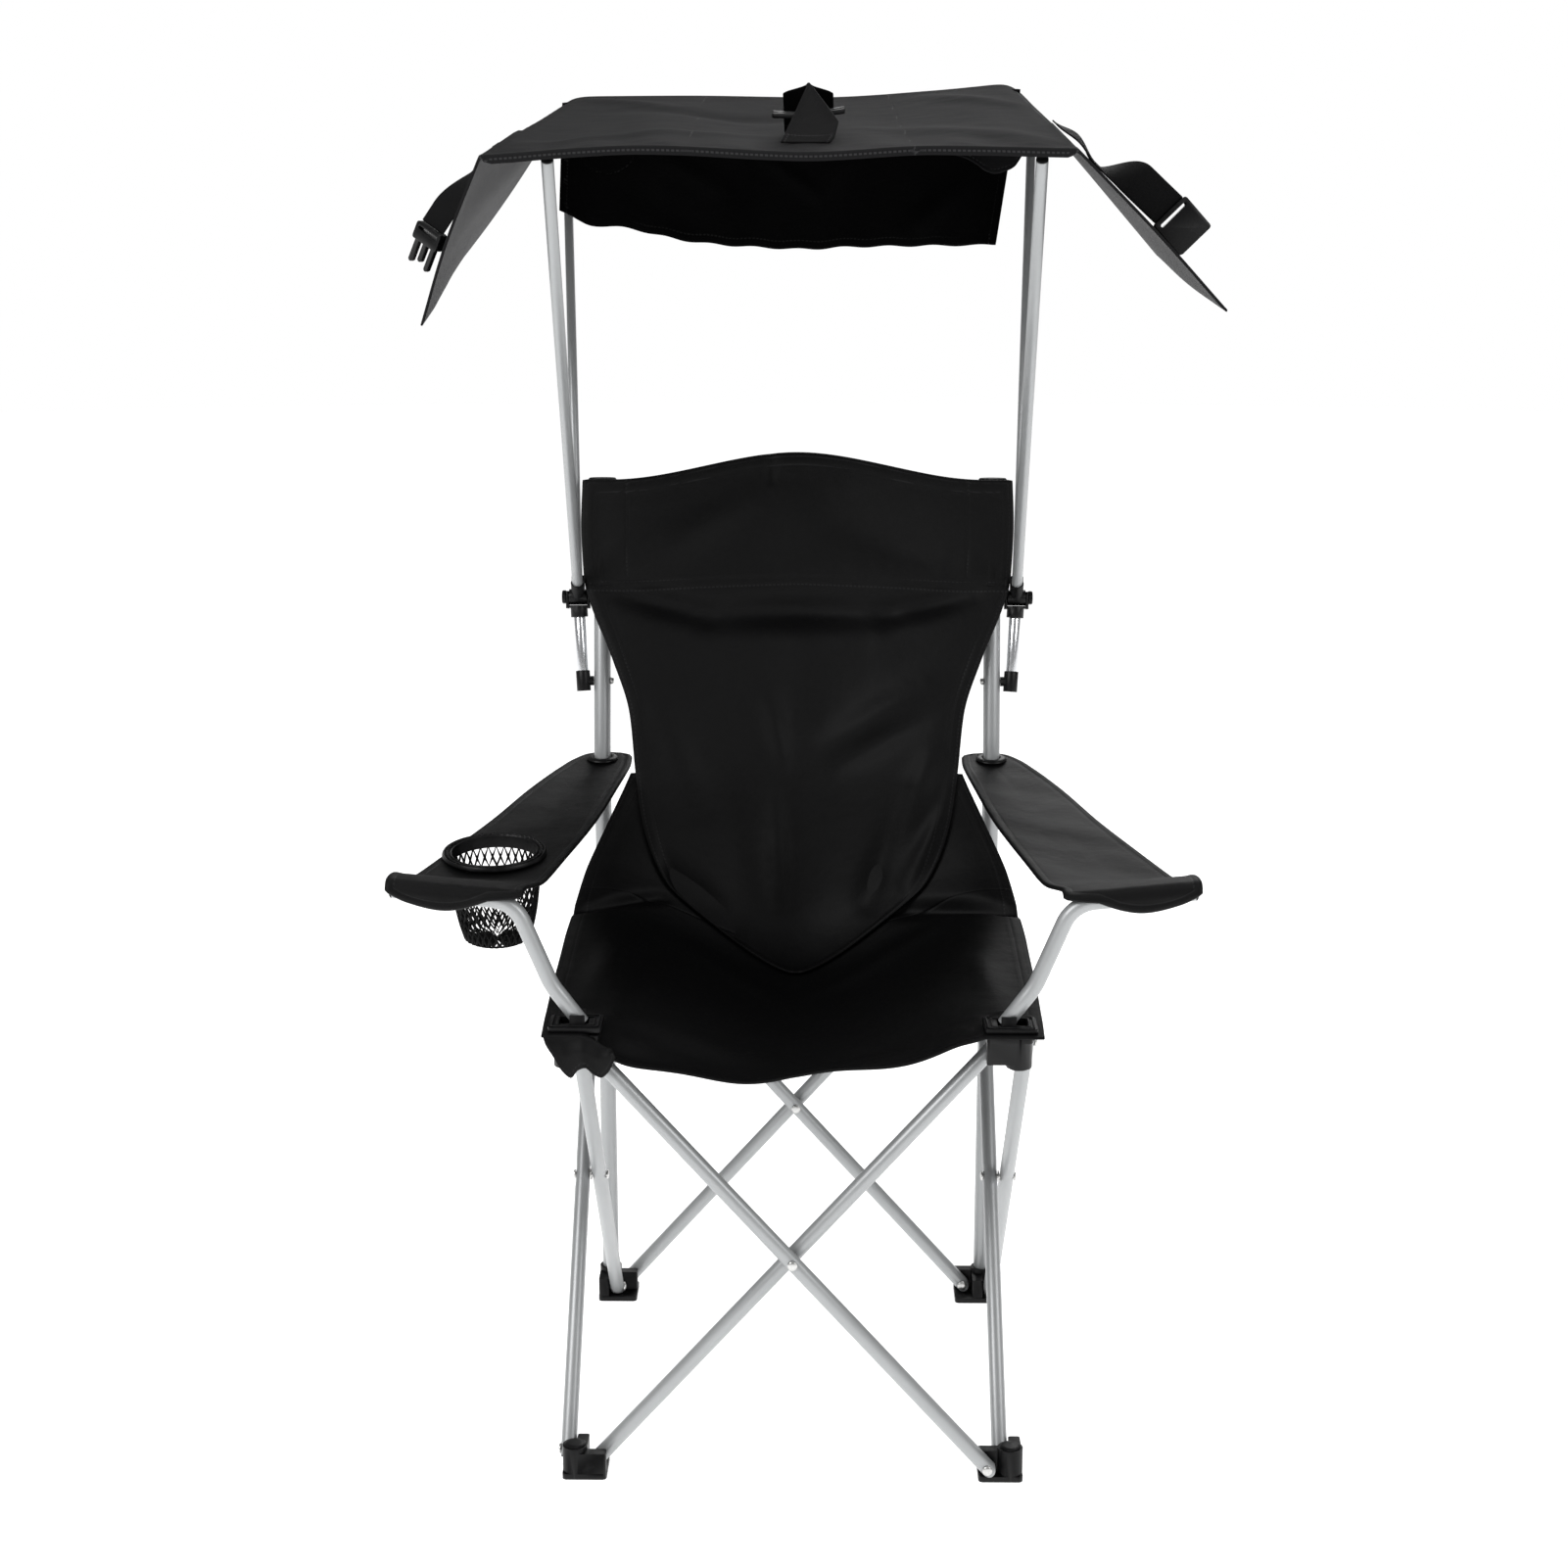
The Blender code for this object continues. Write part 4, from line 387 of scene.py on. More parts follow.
# ---------------------------------------------------------------- corner mouldings
# Black glass-filled nylon mouldings: four feet, two front hubs with the arm posts'
# forks, and two sliders on the back posts. Each carries two tube ends on rivets.
nylon = Finish("black_nylon", Specular_IOR_Level=0.22)
nylon_place = nylon.surface()
spark = nylon.noise(nylon_place, 2600, 2.0)
nylon_cloud = nylon.noise(nylon_place, 60, 5.0)
nylon_rub = nylon.node("ValToRGB", {"stops": ((0.55, 0.0), (0.72, 1.0))}, {"Fac": nylon_cloud})
black_nylon = nylon.wear(nylon.blend(nylon_rub, (0.0022, 0.0022, 0.0025), (0.0080, 0.0080, 0.0085)),
                         0.38 + nylon_rub * 0.16, nylon.bumped(spark, 0.00010, 0.35))


def moulded(node, name, ease):
    """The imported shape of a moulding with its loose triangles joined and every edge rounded."""
    piece = new_piece(name, frame["nodes"][node].data.copy())
    piece.data.materials.clear()
    bpy.ops.object.mode_set(mode="EDIT")
    bpy.ops.mesh.select_all(action="SELECT")
    bpy.ops.mesh.remove_doubles(threshold=0.00002)
    bpy.ops.mesh.dissolve_limited(angle_limit=math.radians(1.5))
    bpy.ops.mesh.normals_make_consistent(inside=False)
    bpy.ops.object.mode_set(mode="OBJECT")
    modified(piece, "BEVEL", width=ease, segments=2, limit_method="ANGLE",
             angle_limit=math.radians(48), use_clamp_overlap=True)
    only(piece)
    bpy.ops.object.shade_smooth_by_angle(angle=math.radians(50))
    return stands_for(piece, black_nylon, node)


for node in ("front_left_foot", "front_right_foot", "rear_left_foot", "rear_right_foot",
             "front_left_hub", "front_right_hub", "rear_left_slider", "rear_right_slider"):
    moulded(node, node + "_moulding", 0.0008)

corner_heads = {}
for foot, hub in leg_tubes.values():
    for end, (x, y, z) in (("foot", foot), ("hub", hub)):
        depth = "front" if y < 0 else "rear"
        hand = "left" if x < 0 else "right"
        kind = "slider" if end == "hub" and depth == "rear" else end
        away = Vector((0, math.copysign(1, abs(y) - CORNER) * math.copysign(1, y), 0))
        if abs(abs(y) - SPAN) < 0.001:
            away = Vector((math.copysign(1, abs(x) - CORNER) * math.copysign(1, x), 0, 0))
        corner_heads.setdefault(f"{depth}_{hand}_{kind}", []).append((at((x, y, z)), away))
for node, heads in corner_heads.items():
    head = [(0, 0.0080)] + domed(0.0052, 0.0026, 0.0081)
    pair = [turned(node + "_rivet_head", head, place, away) for place, away in heads]
    only(pair[0])
    pair[1].select_set(True)
    bpy.ops.object.join()
    pair[0].name = node + "_rivet_heads"
    carried(pair[0], zinc_plate, body_of[node])

# Black plugs close the sockets that hold no post: the front feet and the front hubs.
HANDS = (("left", -1), ("right", 1))
socket_plug = [(0, -.012), (.0092, -.012), (.0092, -.0003), (.0108, -.0002), (.0108, .0008), (.0096, .0018),
               (.0060, .0022), (0, .0023)]
for hand, side in HANDS:
    for node, height, way in ((f"front_{hand}_foot", 0.0330, 1), (f"front_{hand}_hub", 0.4395, -1)):
        plug = turned(node + "_plug", socket_plug, at((side * CORNER, -CORNER, height)), (0, 0, way))
        carried(plug, black_nylon, body_of[node])

# ---------------------------------------------------------------- posts
# Two 19 mm back posts bent back above the arms, and two bent 16 mm arm posts that
# swing in the front hubs' forks. All are powder coated steel tube.
LEAN = math.radians(11)
BEND_HEIGHT = 0.66
POST_TOP = 0.955
FORK = 0.2105


def post_depth(height):
    """How far back the middle of a back post stands at a height above its bend."""
    return CORNER + (height - BEND_HEIGHT) * math.tan(LEAN)


def arm_place(side, out, up):
    """A place on an arm post, measured out and up from its pivot in the hub's fork."""
    return Vector((side * (FORK + out), -FORK, 0.4835 + up))


def rounded_path(corners, radii):
    """Path through points, with each inner corner rounded to its radius."""
    path = [Vector(corners[0])]
    for before, corner, after, radius in zip(corners, corners[1:], corners[2:], radii):
        before, corner, after = Vector(before), Vector(corner), Vector(after)
        back = (before - corner).normalized()
        on = (after - corner).normalized()
        half = back.angle(on) / 2
        reach = radius / math.tan(half)
        centre = corner + (back + on).normalized() * radius / math.sin(half)
        start, end = corner + back * reach - centre, corner + on * reach - centre
        swing = start.rotation_difference(end)
        for k in range(15):
            path.append(centre + Matrix.Rotation(swing.angle * k / 14, 3, swing.axis) @ start)
    path.append(Vector(corners[-1]))
    return path


arm_cap = [(0, -.010), (.0066, -.010), (.0066, .0002), (.0080, .0003), (.0080, .0012), (.0066, .0024),
           (.0036, .0030), (0, .0031)]
for hand, side in HANDS:
    bend, top = ((side * CORNER, post_depth(height), height) for height in (BEND_HEIGHT, POST_TOP))
    path = rounded_path([(side * CORNER, CORNER, 0.0063), bend, top], [0.12])
    post = walled(drawn_tube(hand + "_rear_upright", [at(place) for place in path], 0.0095), 0.0015)
    stands_for(post, powder_coat, hand + "_back_post")
    frame["nodes"][hand + "_post_cap"].data.materials.clear()
    frame["nodes"][hand + "_post_cap"].data.materials.append(black_nylon)
    pivot, knee = arm_place(side, 0, 0), arm_place(side, 0.0255, 0.0345)
    bend, tip = arm_place(side, 0.060, 0.118), arm_place(side, 0.1775, 0.1295)
    path = rounded_path([pivot - (knee - pivot).normalized() * 0.006, knee, bend, tip], [0.07, 0.036])
    post = walled(drawn_tube(hand + "_arm_upright", [at(place) for place in path], LEG_RADIUS), LEG_WALL)
    cap = turned(hand + "_arm_upright_cap", arm_cap, at(tip), tip - bend)
    carried(cap, black_nylon, body_of[hand + "_arm_post"])
    stands_for(post, powder_coat, hand + "_arm_post")

# ---------------------------------------------------------------- seat plates
# Black nylon frames round the forks, riveted down on the seat cloth so that it can't
# tear off the hubs. Each has two raised ribs, one inside the other, moulded into its top.
PLATE_OUT = 0.2125
for hand, side in HANDS:
    moulded(hand + "_seat_plate", hand + "_seat_clamp", 0.0007)
    centre = at((side * PLATE_OUT, -FORK, 0.4806))
    for rib, (half_x, half_y) in enumerate(((0.0235, 0.0185), (0.0190, 0.0140))):
        bpy.ops.mesh.primitive_plane_add(size=1, location=centre)
        lip = bpy.context.object
        lip.name = f"{hand}_seat_clamp_lip_{rib}"
        lip.scale = (half_x * 2, half_y * 2, 1)
        bpy.ops.object.transform_apply(location=True, rotation=True, scale=True)
        bpy.ops.object.mode_set(mode="EDIT")
        bpy.ops.mesh.select_all(action="SELECT")
        bpy.ops.mesh.bevel(offset=0.003, segments=4, affect="VERTICES")
        bpy.ops.mesh.inset(thickness=0.0016)
        bpy.ops.mesh.delete(type="FACE")
        bpy.ops.object.mode_set(mode="OBJECT")
        modified(lip, "SOLIDIFY", thickness=0.0012 - rib * 0.0004, offset=1)
        modified(lip, "BEVEL", width=0.0003, segments=2)
        carried(lip, black_nylon, body_of[hand + "_seat_plate"])

# ---------------------------------------------------------------- sling cloth
# Seat and back are two panels of black coated 600-denier polyester with turned hems,
# which overlap behind the sitter. They hang from the front hubs and the posts' tops.
STATIONS = np.array([
    (-.2385, .434, -.2385, .4739, .186), (-.170, .427, -.170, .4739, .186), (-.070, .421, -.070, .480, .200),
    (.030, .416, .030, .490, .215), (.120, .424, .106, .506, .220), (.178, .470, .146, .536, .220),
    (.206, .560, .176, .585, .205), (.218, .640, .190, .640, .185), (.234, .710, .204, .706, .185),
    (.250, .770, .218, .764, .205), (.262, .822, .2365, .820, .212), (.268, .850, .2456, .846, .210),
    (.284, .925, .2592, .916, .210), (.294, .990, .2680, .9615, .210)])
SEAT_HALF_WIDTHS = np.array([.2430, .2460, .2480, .2480, .2440, .2350, .2120, .1860])
BACK_HALF_WIDTHS = np.array([.008, .145, .172, .180, .187, .206, .230, .2385, .2425, .2410])


def eased(share):
    """Share from 0 to 1 with a soft start and end."""
    share = np.clip(share, 0.0, 1.0)
    return share * share * (3 - 2 * share)


def faired(values, place):
    """Smooth curve through evenly spaced values that never overshoots them."""
    values = np.asarray(values, float)
    place = np.asarray(place, float)
    steps = np.diff(values)
    product = steps[:-1] * steps[1:]
    total = steps[:-1] + steps[1:]
    inner = np.where(product > 0, 2 * product / np.where(total == 0, 1, total), 0)
    slopes = np.concatenate(([steps[0]], inner, [steps[-1]]))
    cell = np.clip(place.astype(int), 0, len(values) - 2)
    t = place - cell
    return ((2 * t ** 3 - 3 * t ** 2 + 1) * values[cell] + (t ** 3 - 2 * t ** 2 + t) * slopes[cell]
            + (3 * t ** 2 - 2 * t ** 3) * values[cell + 1] + (t ** 3 - t ** 2) * slopes[cell + 1])


def spread(rows, cols):
    """Shares from 0 to 1 across a grid and down it."""
    across, down = np.meshgrid(np.linspace(0, 1, cols), np.linspace(0, 1, rows))
    return across, down


def sling(x, station):
    """Points of the sling, from distances across and places along its stations."""
    middle_y, middle_z, side_y, side_z, flat_from = (faired(STATIONS[:, k], station) for k in range(5))
    share = eased(np.abs(x) / flat_from)
    near_front = 1 - eased(np.asarray(station) / 1.6)
    share = share + (np.clip(np.abs(x) / flat_from, 0, 1) ** 1.7 - share) * near_front
    return np.stack((x, middle_y + (side_y - middle_y) * share, middle_z + (side_z - middle_z) * share), -1)


def normals_of(grid):
    """Unit normals of a grid of points."""
    normal = np.cross(np.gradient(grid, axis=1), np.gradient(grid, axis=0))
    return normal / np.linalg.norm(normal, axis=2, keepdims=True)


def creased(first, second, creases):
    """Height of soft folds: each runs between two places, with a width and a height."""
    height = np.zeros_like(first)
    for x0, y0, x1, y1, width, rise in creases:
        dx, dy = x1 - x0, y1 - y0
        t = ((first - x0) * dx + (second - y0) * dy) / (dx * dx + dy * dy)
        near = np.clip(t, 0, 1)
        gap = np.hypot(first - x0 - near * dx, second - y0 - near * dy)
        height += rise * np.exp(-(gap / width) ** 2) * (0.45 + 0.55 * np.sin(np.pi * near))
    return height


def lengths(grid, axis):
    """Distances run along the grid, down it (axis 0) or across it (axis 1)."""
    step = np.linalg.norm(np.diff(grid, axis=axis), axis=2)
    start = np.zeros_like(step[:1] if axis == 0 else step[:, :1])
    return np.concatenate((start, np.cumsum(step, axis)), axis)


def from_sides(across):
    """Distances in from the nearer side edge, from distances across."""
    return np.minimum(across, across[:, -1:] - across)


def sewn(name, grid, thick, seam, run, lining=False):
    """Closed sheet of cloth on a grid of middle points, with a rounded rim and UVs in metres."""
    rows, cols = grid.shape[:2]
    count = rows * cols
    number = np.arange(count).reshape(rows, cols)
    rim = np.concatenate((number[0, :-1], number[:-1, -1], number[-1, :0:-1], number[:0:-1, 0]))
    points, half = grid.reshape(-1, 3), np.broadcast_to(thick, (rows, cols)).reshape(-1, 1) / 2
    lift = normals_of(grid).reshape(-1, 3) * half
    out = (grid - np.pad(grid[1:-1, 1:-1], ((1, 1), (1, 1), (0, 0)), "edge")).reshape(-1, 3)[rim]
    out = points[rim] + out / np.linalg.norm(out, axis=1, keepdims=True) * half[rim] * 0.9
    front = np.stack((number[:-1, :-1], number[:-1, 1:], number[1:, 1:], number[1:, :-1]), -1).reshape(-1, 4)
    rim_number = 2 * count + np.arange(len(rim))
    after, rim_after = np.roll(rim, -1), np.roll(rim_number, -1)
    edge = np.stack((rim, rim_number, rim_after, after,
                     rim_number, rim + count, after + count, rim_after), -1)
    mesh = bpy.data.meshes.new(name)
    mesh.from_pydata((np.concatenate((points + lift, points - lift, out)) + np.array(HOME)).tolist(), [],
                     np.concatenate((front, front[:, ::-1] + count, edge.reshape(-1, 4))).tolist())
    point_of = np.concatenate((number.ravel(), number.ravel(), rim))
    middle = slice(cols // 2, cols // 2 + 1)
    across, along = lengths(grid, 1), lengths(grid, 0)
    flat = np.stack((across - across[:, middle], along[:, middle] + 0 * across), -1).reshape(-1, 2)[point_of]
    vertex_of = np.zeros(len(mesh.loops), int)
    mesh.loops.foreach_get("vertex_index", vertex_of)
    cut = mesh.uv_layers.new(name="cut")
    cut.data.foreach_set("uv", flat[vertex_of].astype(np.float32).ravel())
    for label, values in (("seam", seam), ("run", run)):
        attribute = mesh.attributes.new(label, "FLOAT", "POINT")
        attribute.data.foreach_set("value", values.ravel()[point_of].astype(np.float32))
    if lining:
        under = np.zeros(len(mesh.polygons), int)
        under[len(front):2 * len(front)] = 1
        mesh.polygons.foreach_set("material_index", under)
    mesh.polygons.foreach_set("use_smooth", np.ones(len(mesh.polygons), bool))
    return new_piece(name, mesh)


def cut_area(grid):
    """Area of the flat cloth that a grid was cut from."""
    a = np.cross(grid[:-1, 1:] - grid[:-1, :-1], grid[1:, :-1] - grid[:-1, :-1])
    b = np.cross(grid[1:, :-1] - grid[1:, 1:], grid[:-1, 1:] - grid[1:, 1:])
    return float(np.linalg.norm(a, axis=2).sum() + np.linalg.norm(b, axis=2).sum()) / 2


def declared(grid, rests_on):
    """Measures the width, length and area that a sheet was cut to, and keeps none of them."""
    width = float(lengths(grid, 1)[:, -1].max())
    length = float(lengths(grid, 0)[-1].max())
    area = min(cut_area(grid), width * length)


def gathered(piece, anchor, keep):
    """Gives a piece of cloth its own copy of its mesh."""
    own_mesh(piece)


def cut_cloth(name, **constants):
    """A finish for cloth, with its places on the flat cut and its stitch distances."""
    cloth = Finish(name, **constants)
    place = cloth.node("UVMap", {"uv_map": "cut"}, {})
    across, along = (cloth.node("SeparateXYZ", {}, {"Vector": place}, output) for output in range(2))
    seam, run = (cloth.node("Attribute", {"attribute_name": label}, {}, 2) for label in ("seam", "run"))
    return cloth, place, across, along, seam.size(), run


YARN_PITCH = 0.0009


def coated_cloth(name, dark, light, thread, rough, **constants):
    """Woven polyester: weave, slubs, small wrinkles, and stitches where a seam runs."""
    cloth, place, across, along, seam, run = cut_cloth(name, **constants)
    weave = across.wave(YARN_PITCH) * along.wave(YARN_PITCH)
    slub = cloth.noise(place, 900, 2.0, (1, 0.15, 1))
    wrinkle = cloth.noise(place, 26, 4.0)
    cloud = cloth.noise(place, 7, 3.0)
    stitched = (seam < 0.0009) * (run.remainder(0.0046) < 0.62)
    groove = seam.maths("MAXIMUM", 1 - (seam / 0.0032), 0)
    height = weave * 0.10 + slub * 0.25 + stitched * 1.2 - groove * 2.2
    fine = cloth.bumped(height, 0.0004, 0.35)
    soft = cloth.bumped(wrinkle, 0.0035, 0.40, fine)
    colour = cloth.blend(stitched * 0.8, cloth.blend(cloud * 0.6 + slub * 0.4, dark, light), thread)
    return cloth.wear(colour, rough + cloud * 0.10 - stitched * 0.1, soft)


black_cloth = coated_cloth("black_coated_cloth", (0.0008, 0.0008, 0.0009), (0.0022, 0.0022, 0.0024),
                           (0.010, 0.010, 0.0105), 0.52, Specular_IOR_Level=0.15)


def hemmed(sides, ends, plain=0.0011, hem=0.0026, width=0.014):
    """Thickness of a panel that is doubled near its edges."""
    edge = np.minimum(sides, ends)
    return plain + (hem - plain) * (1 - eased((edge - width * 0.8) / (width * 0.4)))


def hem_lines(sides, ends):
    """Distance to the nearest of the two stitch lines that follow each edge."""
    edge = np.minimum(sides, ends)
    return np.minimum(np.abs(edge - 0.003), np.abs(edge - 0.0125))


FRONT_SPLIT = 4.6
SEAT_GATHER = (-0.21512, 0.22)
BACK_GATHER = (-0.22562, 0.2427)
seat_creases = [
    (-.245, .350, -.150, .412, .008, -.010), (.245, .352, .120, .410, .011, -.016),
    (-.205, .110, -.195, .250, .018, .006), (-.165, .120, -.160, .260, .016, -.004),
    (-.110, .330, -.020, .290, .020, .004), (.020, .300, .150, .345, .018, .005),
    (-.180, .060, .000, .030, .020, -.003), (.000, .040, .170, .065, .020, -.003),
    (.205, .080, .195, .230, .016, .004), (-.080, .200, .080, .190, .030, -.003),
    (.225, .010, .150, .045, .012, .003), (-.230, .012, -.150, .040, .012, .003)]


def seat_grid(first, last, rows):
    """The seat's part between two stations: its points, distances in from the sides and back."""
    x, stations = np.meshgrid(np.linspace(-1, 1, 121), np.linspace(first, last, rows))
    half_width = faired(SEAT_HALF_WIDTHS, stations)
    x = x * half_width
    s = faired([0, .0687, .169, .269, .359, .433, .527, .608], stations)
    grid = sling(x, stations)
    front_wave = .0035 * np.sin(x * 42) * np.exp(-(s / .03) ** 2) * eased((.19 - np.abs(x)) / .05)
    held = eased((np.abs(np.abs(x) - PLATE_OUT) - .030) / .02)
    near_plate = np.where(s < .07, held, 1)
    grid = grid + normals_of(grid) * ((creased(x, s, seat_creases) + front_wave) * near_plate)[..., None]
    sag = .019 * eased(np.clip(-x / .16, 0, 1) ** .7) * eased((.205 + x) / .03)
    grid[..., 2] -= sag * (1 - eased(s / .075))
    return grid, half_width - np.abs(x), s


grid, sides, s = seat_grid(0, FRONT_SPLIT, 110)
seat = sewn("seat_front_panel", grid, hemmed(sides, s), hem_lines(sides, s), s)
for side in (-1, 1):
    bpy.ops.mesh.primitive_cube_add(size=1, location=at((side * 0.2145, -FORK, 0.475)))
    cutter = bpy.context.object
    cutter.scale = (0.029, 0.0270, 0.02)
    modified(seat, "BOOLEAN", object=cutter, operation="DIFFERENCE", solver="EXACT")
    bpy.data.objects.remove(cutter)
gathered(stands_for(seat, black_cloth, "seat_cloth"), *SEAT_GATHER)
declared(grid, ["front_left_hub", "front_right_hub"])

# The seat's left front corner is folded under, and its end hangs out below the hub.
i, j = spread(20, 31)
low_z = faired([.4660, .4540, .4400, .4330, .4420, .4455, .4380, .4335, .4400, .4560], i * 9)
grid = np.stack((-.2415 + .0660 * i + .004 * j, -.2385 - .0055 * eased(j * 2) - .003 * np.sin(i * 14) * j,
                 .4738 - .012 * eased((i - .6) / .4) * (1 - j) + (low_z - .4738) * j), -1)[::-1]
across_run, drop_run = lengths(grid, 1), lengths(grid, 0)
tab = sewn("seat_corner_tab", grid, .0018, np.abs(drop_run - .004), across_run)
gathered(carried(tab, black_cloth, "seat"), *SEAT_GATHER)
declared(grid, ["seat_front_panel"])

grid, sides, s = seat_grid(FRONT_SPLIT, 7, 70)
seat_rear = sewn("seat_rear_panel", grid, hemmed(sides, s[-1, 0] - s), hem_lines(sides, s[-1, 0] - s), s)
gathered(carried(seat_rear, black_cloth, "left_post"), *BACK_GATHER)
declared(grid, ["left_rear_upright", "right_rear_upright"])

back_creases = [
    (-.196, .838, -.100, .812, .015, -.008), (-.100, .812, .100, .814, .017, -.009),
    (.100, .814, .196, .838, .015, -.008), (-.080, .775, .080, .775, .040, .006),
    (.000, .770, .000, .680, .030, .003), (-.030, .720, -.015, .650, .012, -.004),
    (.142, .733, .040, .670, .018, .005), (.137, .700, .050, .648, .014, -.004),
    (.152, .658, .100, .542, .014, .006), (.180, .616, .127, .520, .011, .005),
    (.128, .616, .080, .500, .014, -.006), (-.025, .605, -.020, .490, .014, .005),
    (-.160, .535, -.080, .470, .016, -.012), (-.070, .620, -.060, .500, .022, -.003),
    (.000, .960, .000, .880, .040, .003), (-.030, 1.00, -.030, .960, .005, -.003),
    (-.180, .872, -.060, .934, .020, .004), (.050, .907, .167, .876, .026, -.005),
    (-.150, .700, -.110, .600, .018, .003), (.050, .952, .130, .972, .016, .002)]
BAND_HEIGHT = .8535
x, stations = np.meshgrid(np.linspace(-1, 1, 131), np.linspace(4, 13, 190))
half_width = faired(BACK_HALF_WIDTHS, stations - 4)
x = x * half_width
grid = sling(x, stations)
grid = grid + normals_of(grid) * (.005 * (1 - eased((stations - 7) / 2)))[..., None]
height = grid[..., 2].copy()
calm = eased((half_width - np.abs(x)) / .02)
grid = grid + normals_of(grid) * (creased(x, height, back_creases) * 1.5 * calm)[..., None]
s = lengths(grid, 0)
sides = half_width - np.abs(x)
band_gap = height - (BAND_HEIGHT - .004 * np.abs(x) / .2)
flank_gap = np.where(height > BAND_HEIGHT, np.abs(np.abs(x) - .1925), 1)
seam = np.minimum.reduce([hem_lines(sides, s[-1] - s), np.abs(band_gap), np.abs(band_gap + .009), flank_gap])
run = np.where(np.minimum(np.abs(band_gap), np.abs(band_gap + .009)) < .004, x, s)
thick = hemmed(sides, s[-1] - s) + .0012 * (band_gap > 0)
back = sewn("back_panel", grid, thick, seam, run)
gathered(stands_for(back, black_cloth, "back_cloth"), *BACK_GATHER)
declared(grid, ["left_rear_upright", "right_rear_upright"])

# ---------------------------------------------------------------- back sleeves
# Each top corner of the back is folded round into a closed pocket that drops over the
# post's cap. It is the same black cloth, doubled, and bound with tape at its mouth.
for hand, side in HANDS:
    around, up = spread(34, 49)
    around = around * 2 * np.pi
    rise = .846 + (.9632 - .846) * np.minimum(up / .93, 1)
    close = np.sqrt(np.maximum(1 - np.maximum((up - .86) / .14, 0) ** 2, 0.0004))
    ripple = 1 + .035 * np.sin(around * 3 + up * 7) * np.sin(up * np.pi)
    wide = .0176 * close * ripple
    deep = .0118 * close * ripple
    grid = np.stack((side * CORNER + wide * np.cos(around),
                     post_depth(rise) + deep * np.sin(around), rise), -1)
    sleeve = sewn(hand + "_post_pocket", grid, .0013, np.abs(rise - .850), wide * around)
    modified(sleeve, "WELD", merge_threshold=0.0003)
    carried(sleeve, black_cloth, hand + "_post")
    declared(grid, [hand + "_rear_upright"])

# ---------------------------------------------------------------- arms
# Flat arms of the same cloth over a thin foam core, bound along their edges. Each runs
# from a ring on the back post to the arm post's top, wraps over the tube and hangs as a lip.
ARM_REACH = .4244
ARM_DROP = .045
ARM_TILT = math.asin(ARM_DROP / ARM_REACH)
to_corner = Matrix.Translation((0, -CORNER, 0))
arm_face = Matrix.Translation((0, CORNER, .651)) @ Matrix.Rotation(ARM_TILT, 4, "X") @ to_corner
INNER_EDGE = np.array([(.2020, .2430), (.1900, .2340), (.1890, .2050), (.1990, .1100), (.2120, .0100),
                       (.2330, -.1000), (.2480, -.1700), (.2620, -.2034)])
OUTER_EDGE = np.array([(.2210, .2460), (.2380, .2400), (.2530, .2200), (.2680, .1850), (.2920, .1150),
                       (.3200, .0150), (.3480, -.0700), (.3720, -.1400), (.3880, -.1830), (.3920, -.2034)])


def walked(line, count):
    """Points spaced evenly along a smoothed line, closer together at its start."""
    fine = np.stack([faired(line[:, k], np.linspace(0, len(line) - 1, 400)) for k in range(2)], -1)
    run = np.concatenate(([0], np.cumsum(np.linalg.norm(np.diff(fine, axis=0), axis=1))))
    wanted = run[-1] * np.linspace(0, 1, count) ** 1.15
    return np.stack([np.interp(wanted, run, fine[:, k]) for k in range(2)], -1)


def drilled(piece, place, way, radius):
    """Cuts a round hole through a piece."""
    cutter = turned("cutter", [(0, -0.03), (radius, -0.03), (radius, 0.03), (0, 0.03)], place, way, 48)
    modified(piece, "BOOLEAN", object=cutter, operation="DIFFERENCE", solver="EXACT")
    bpy.data.objects.remove(cutter)


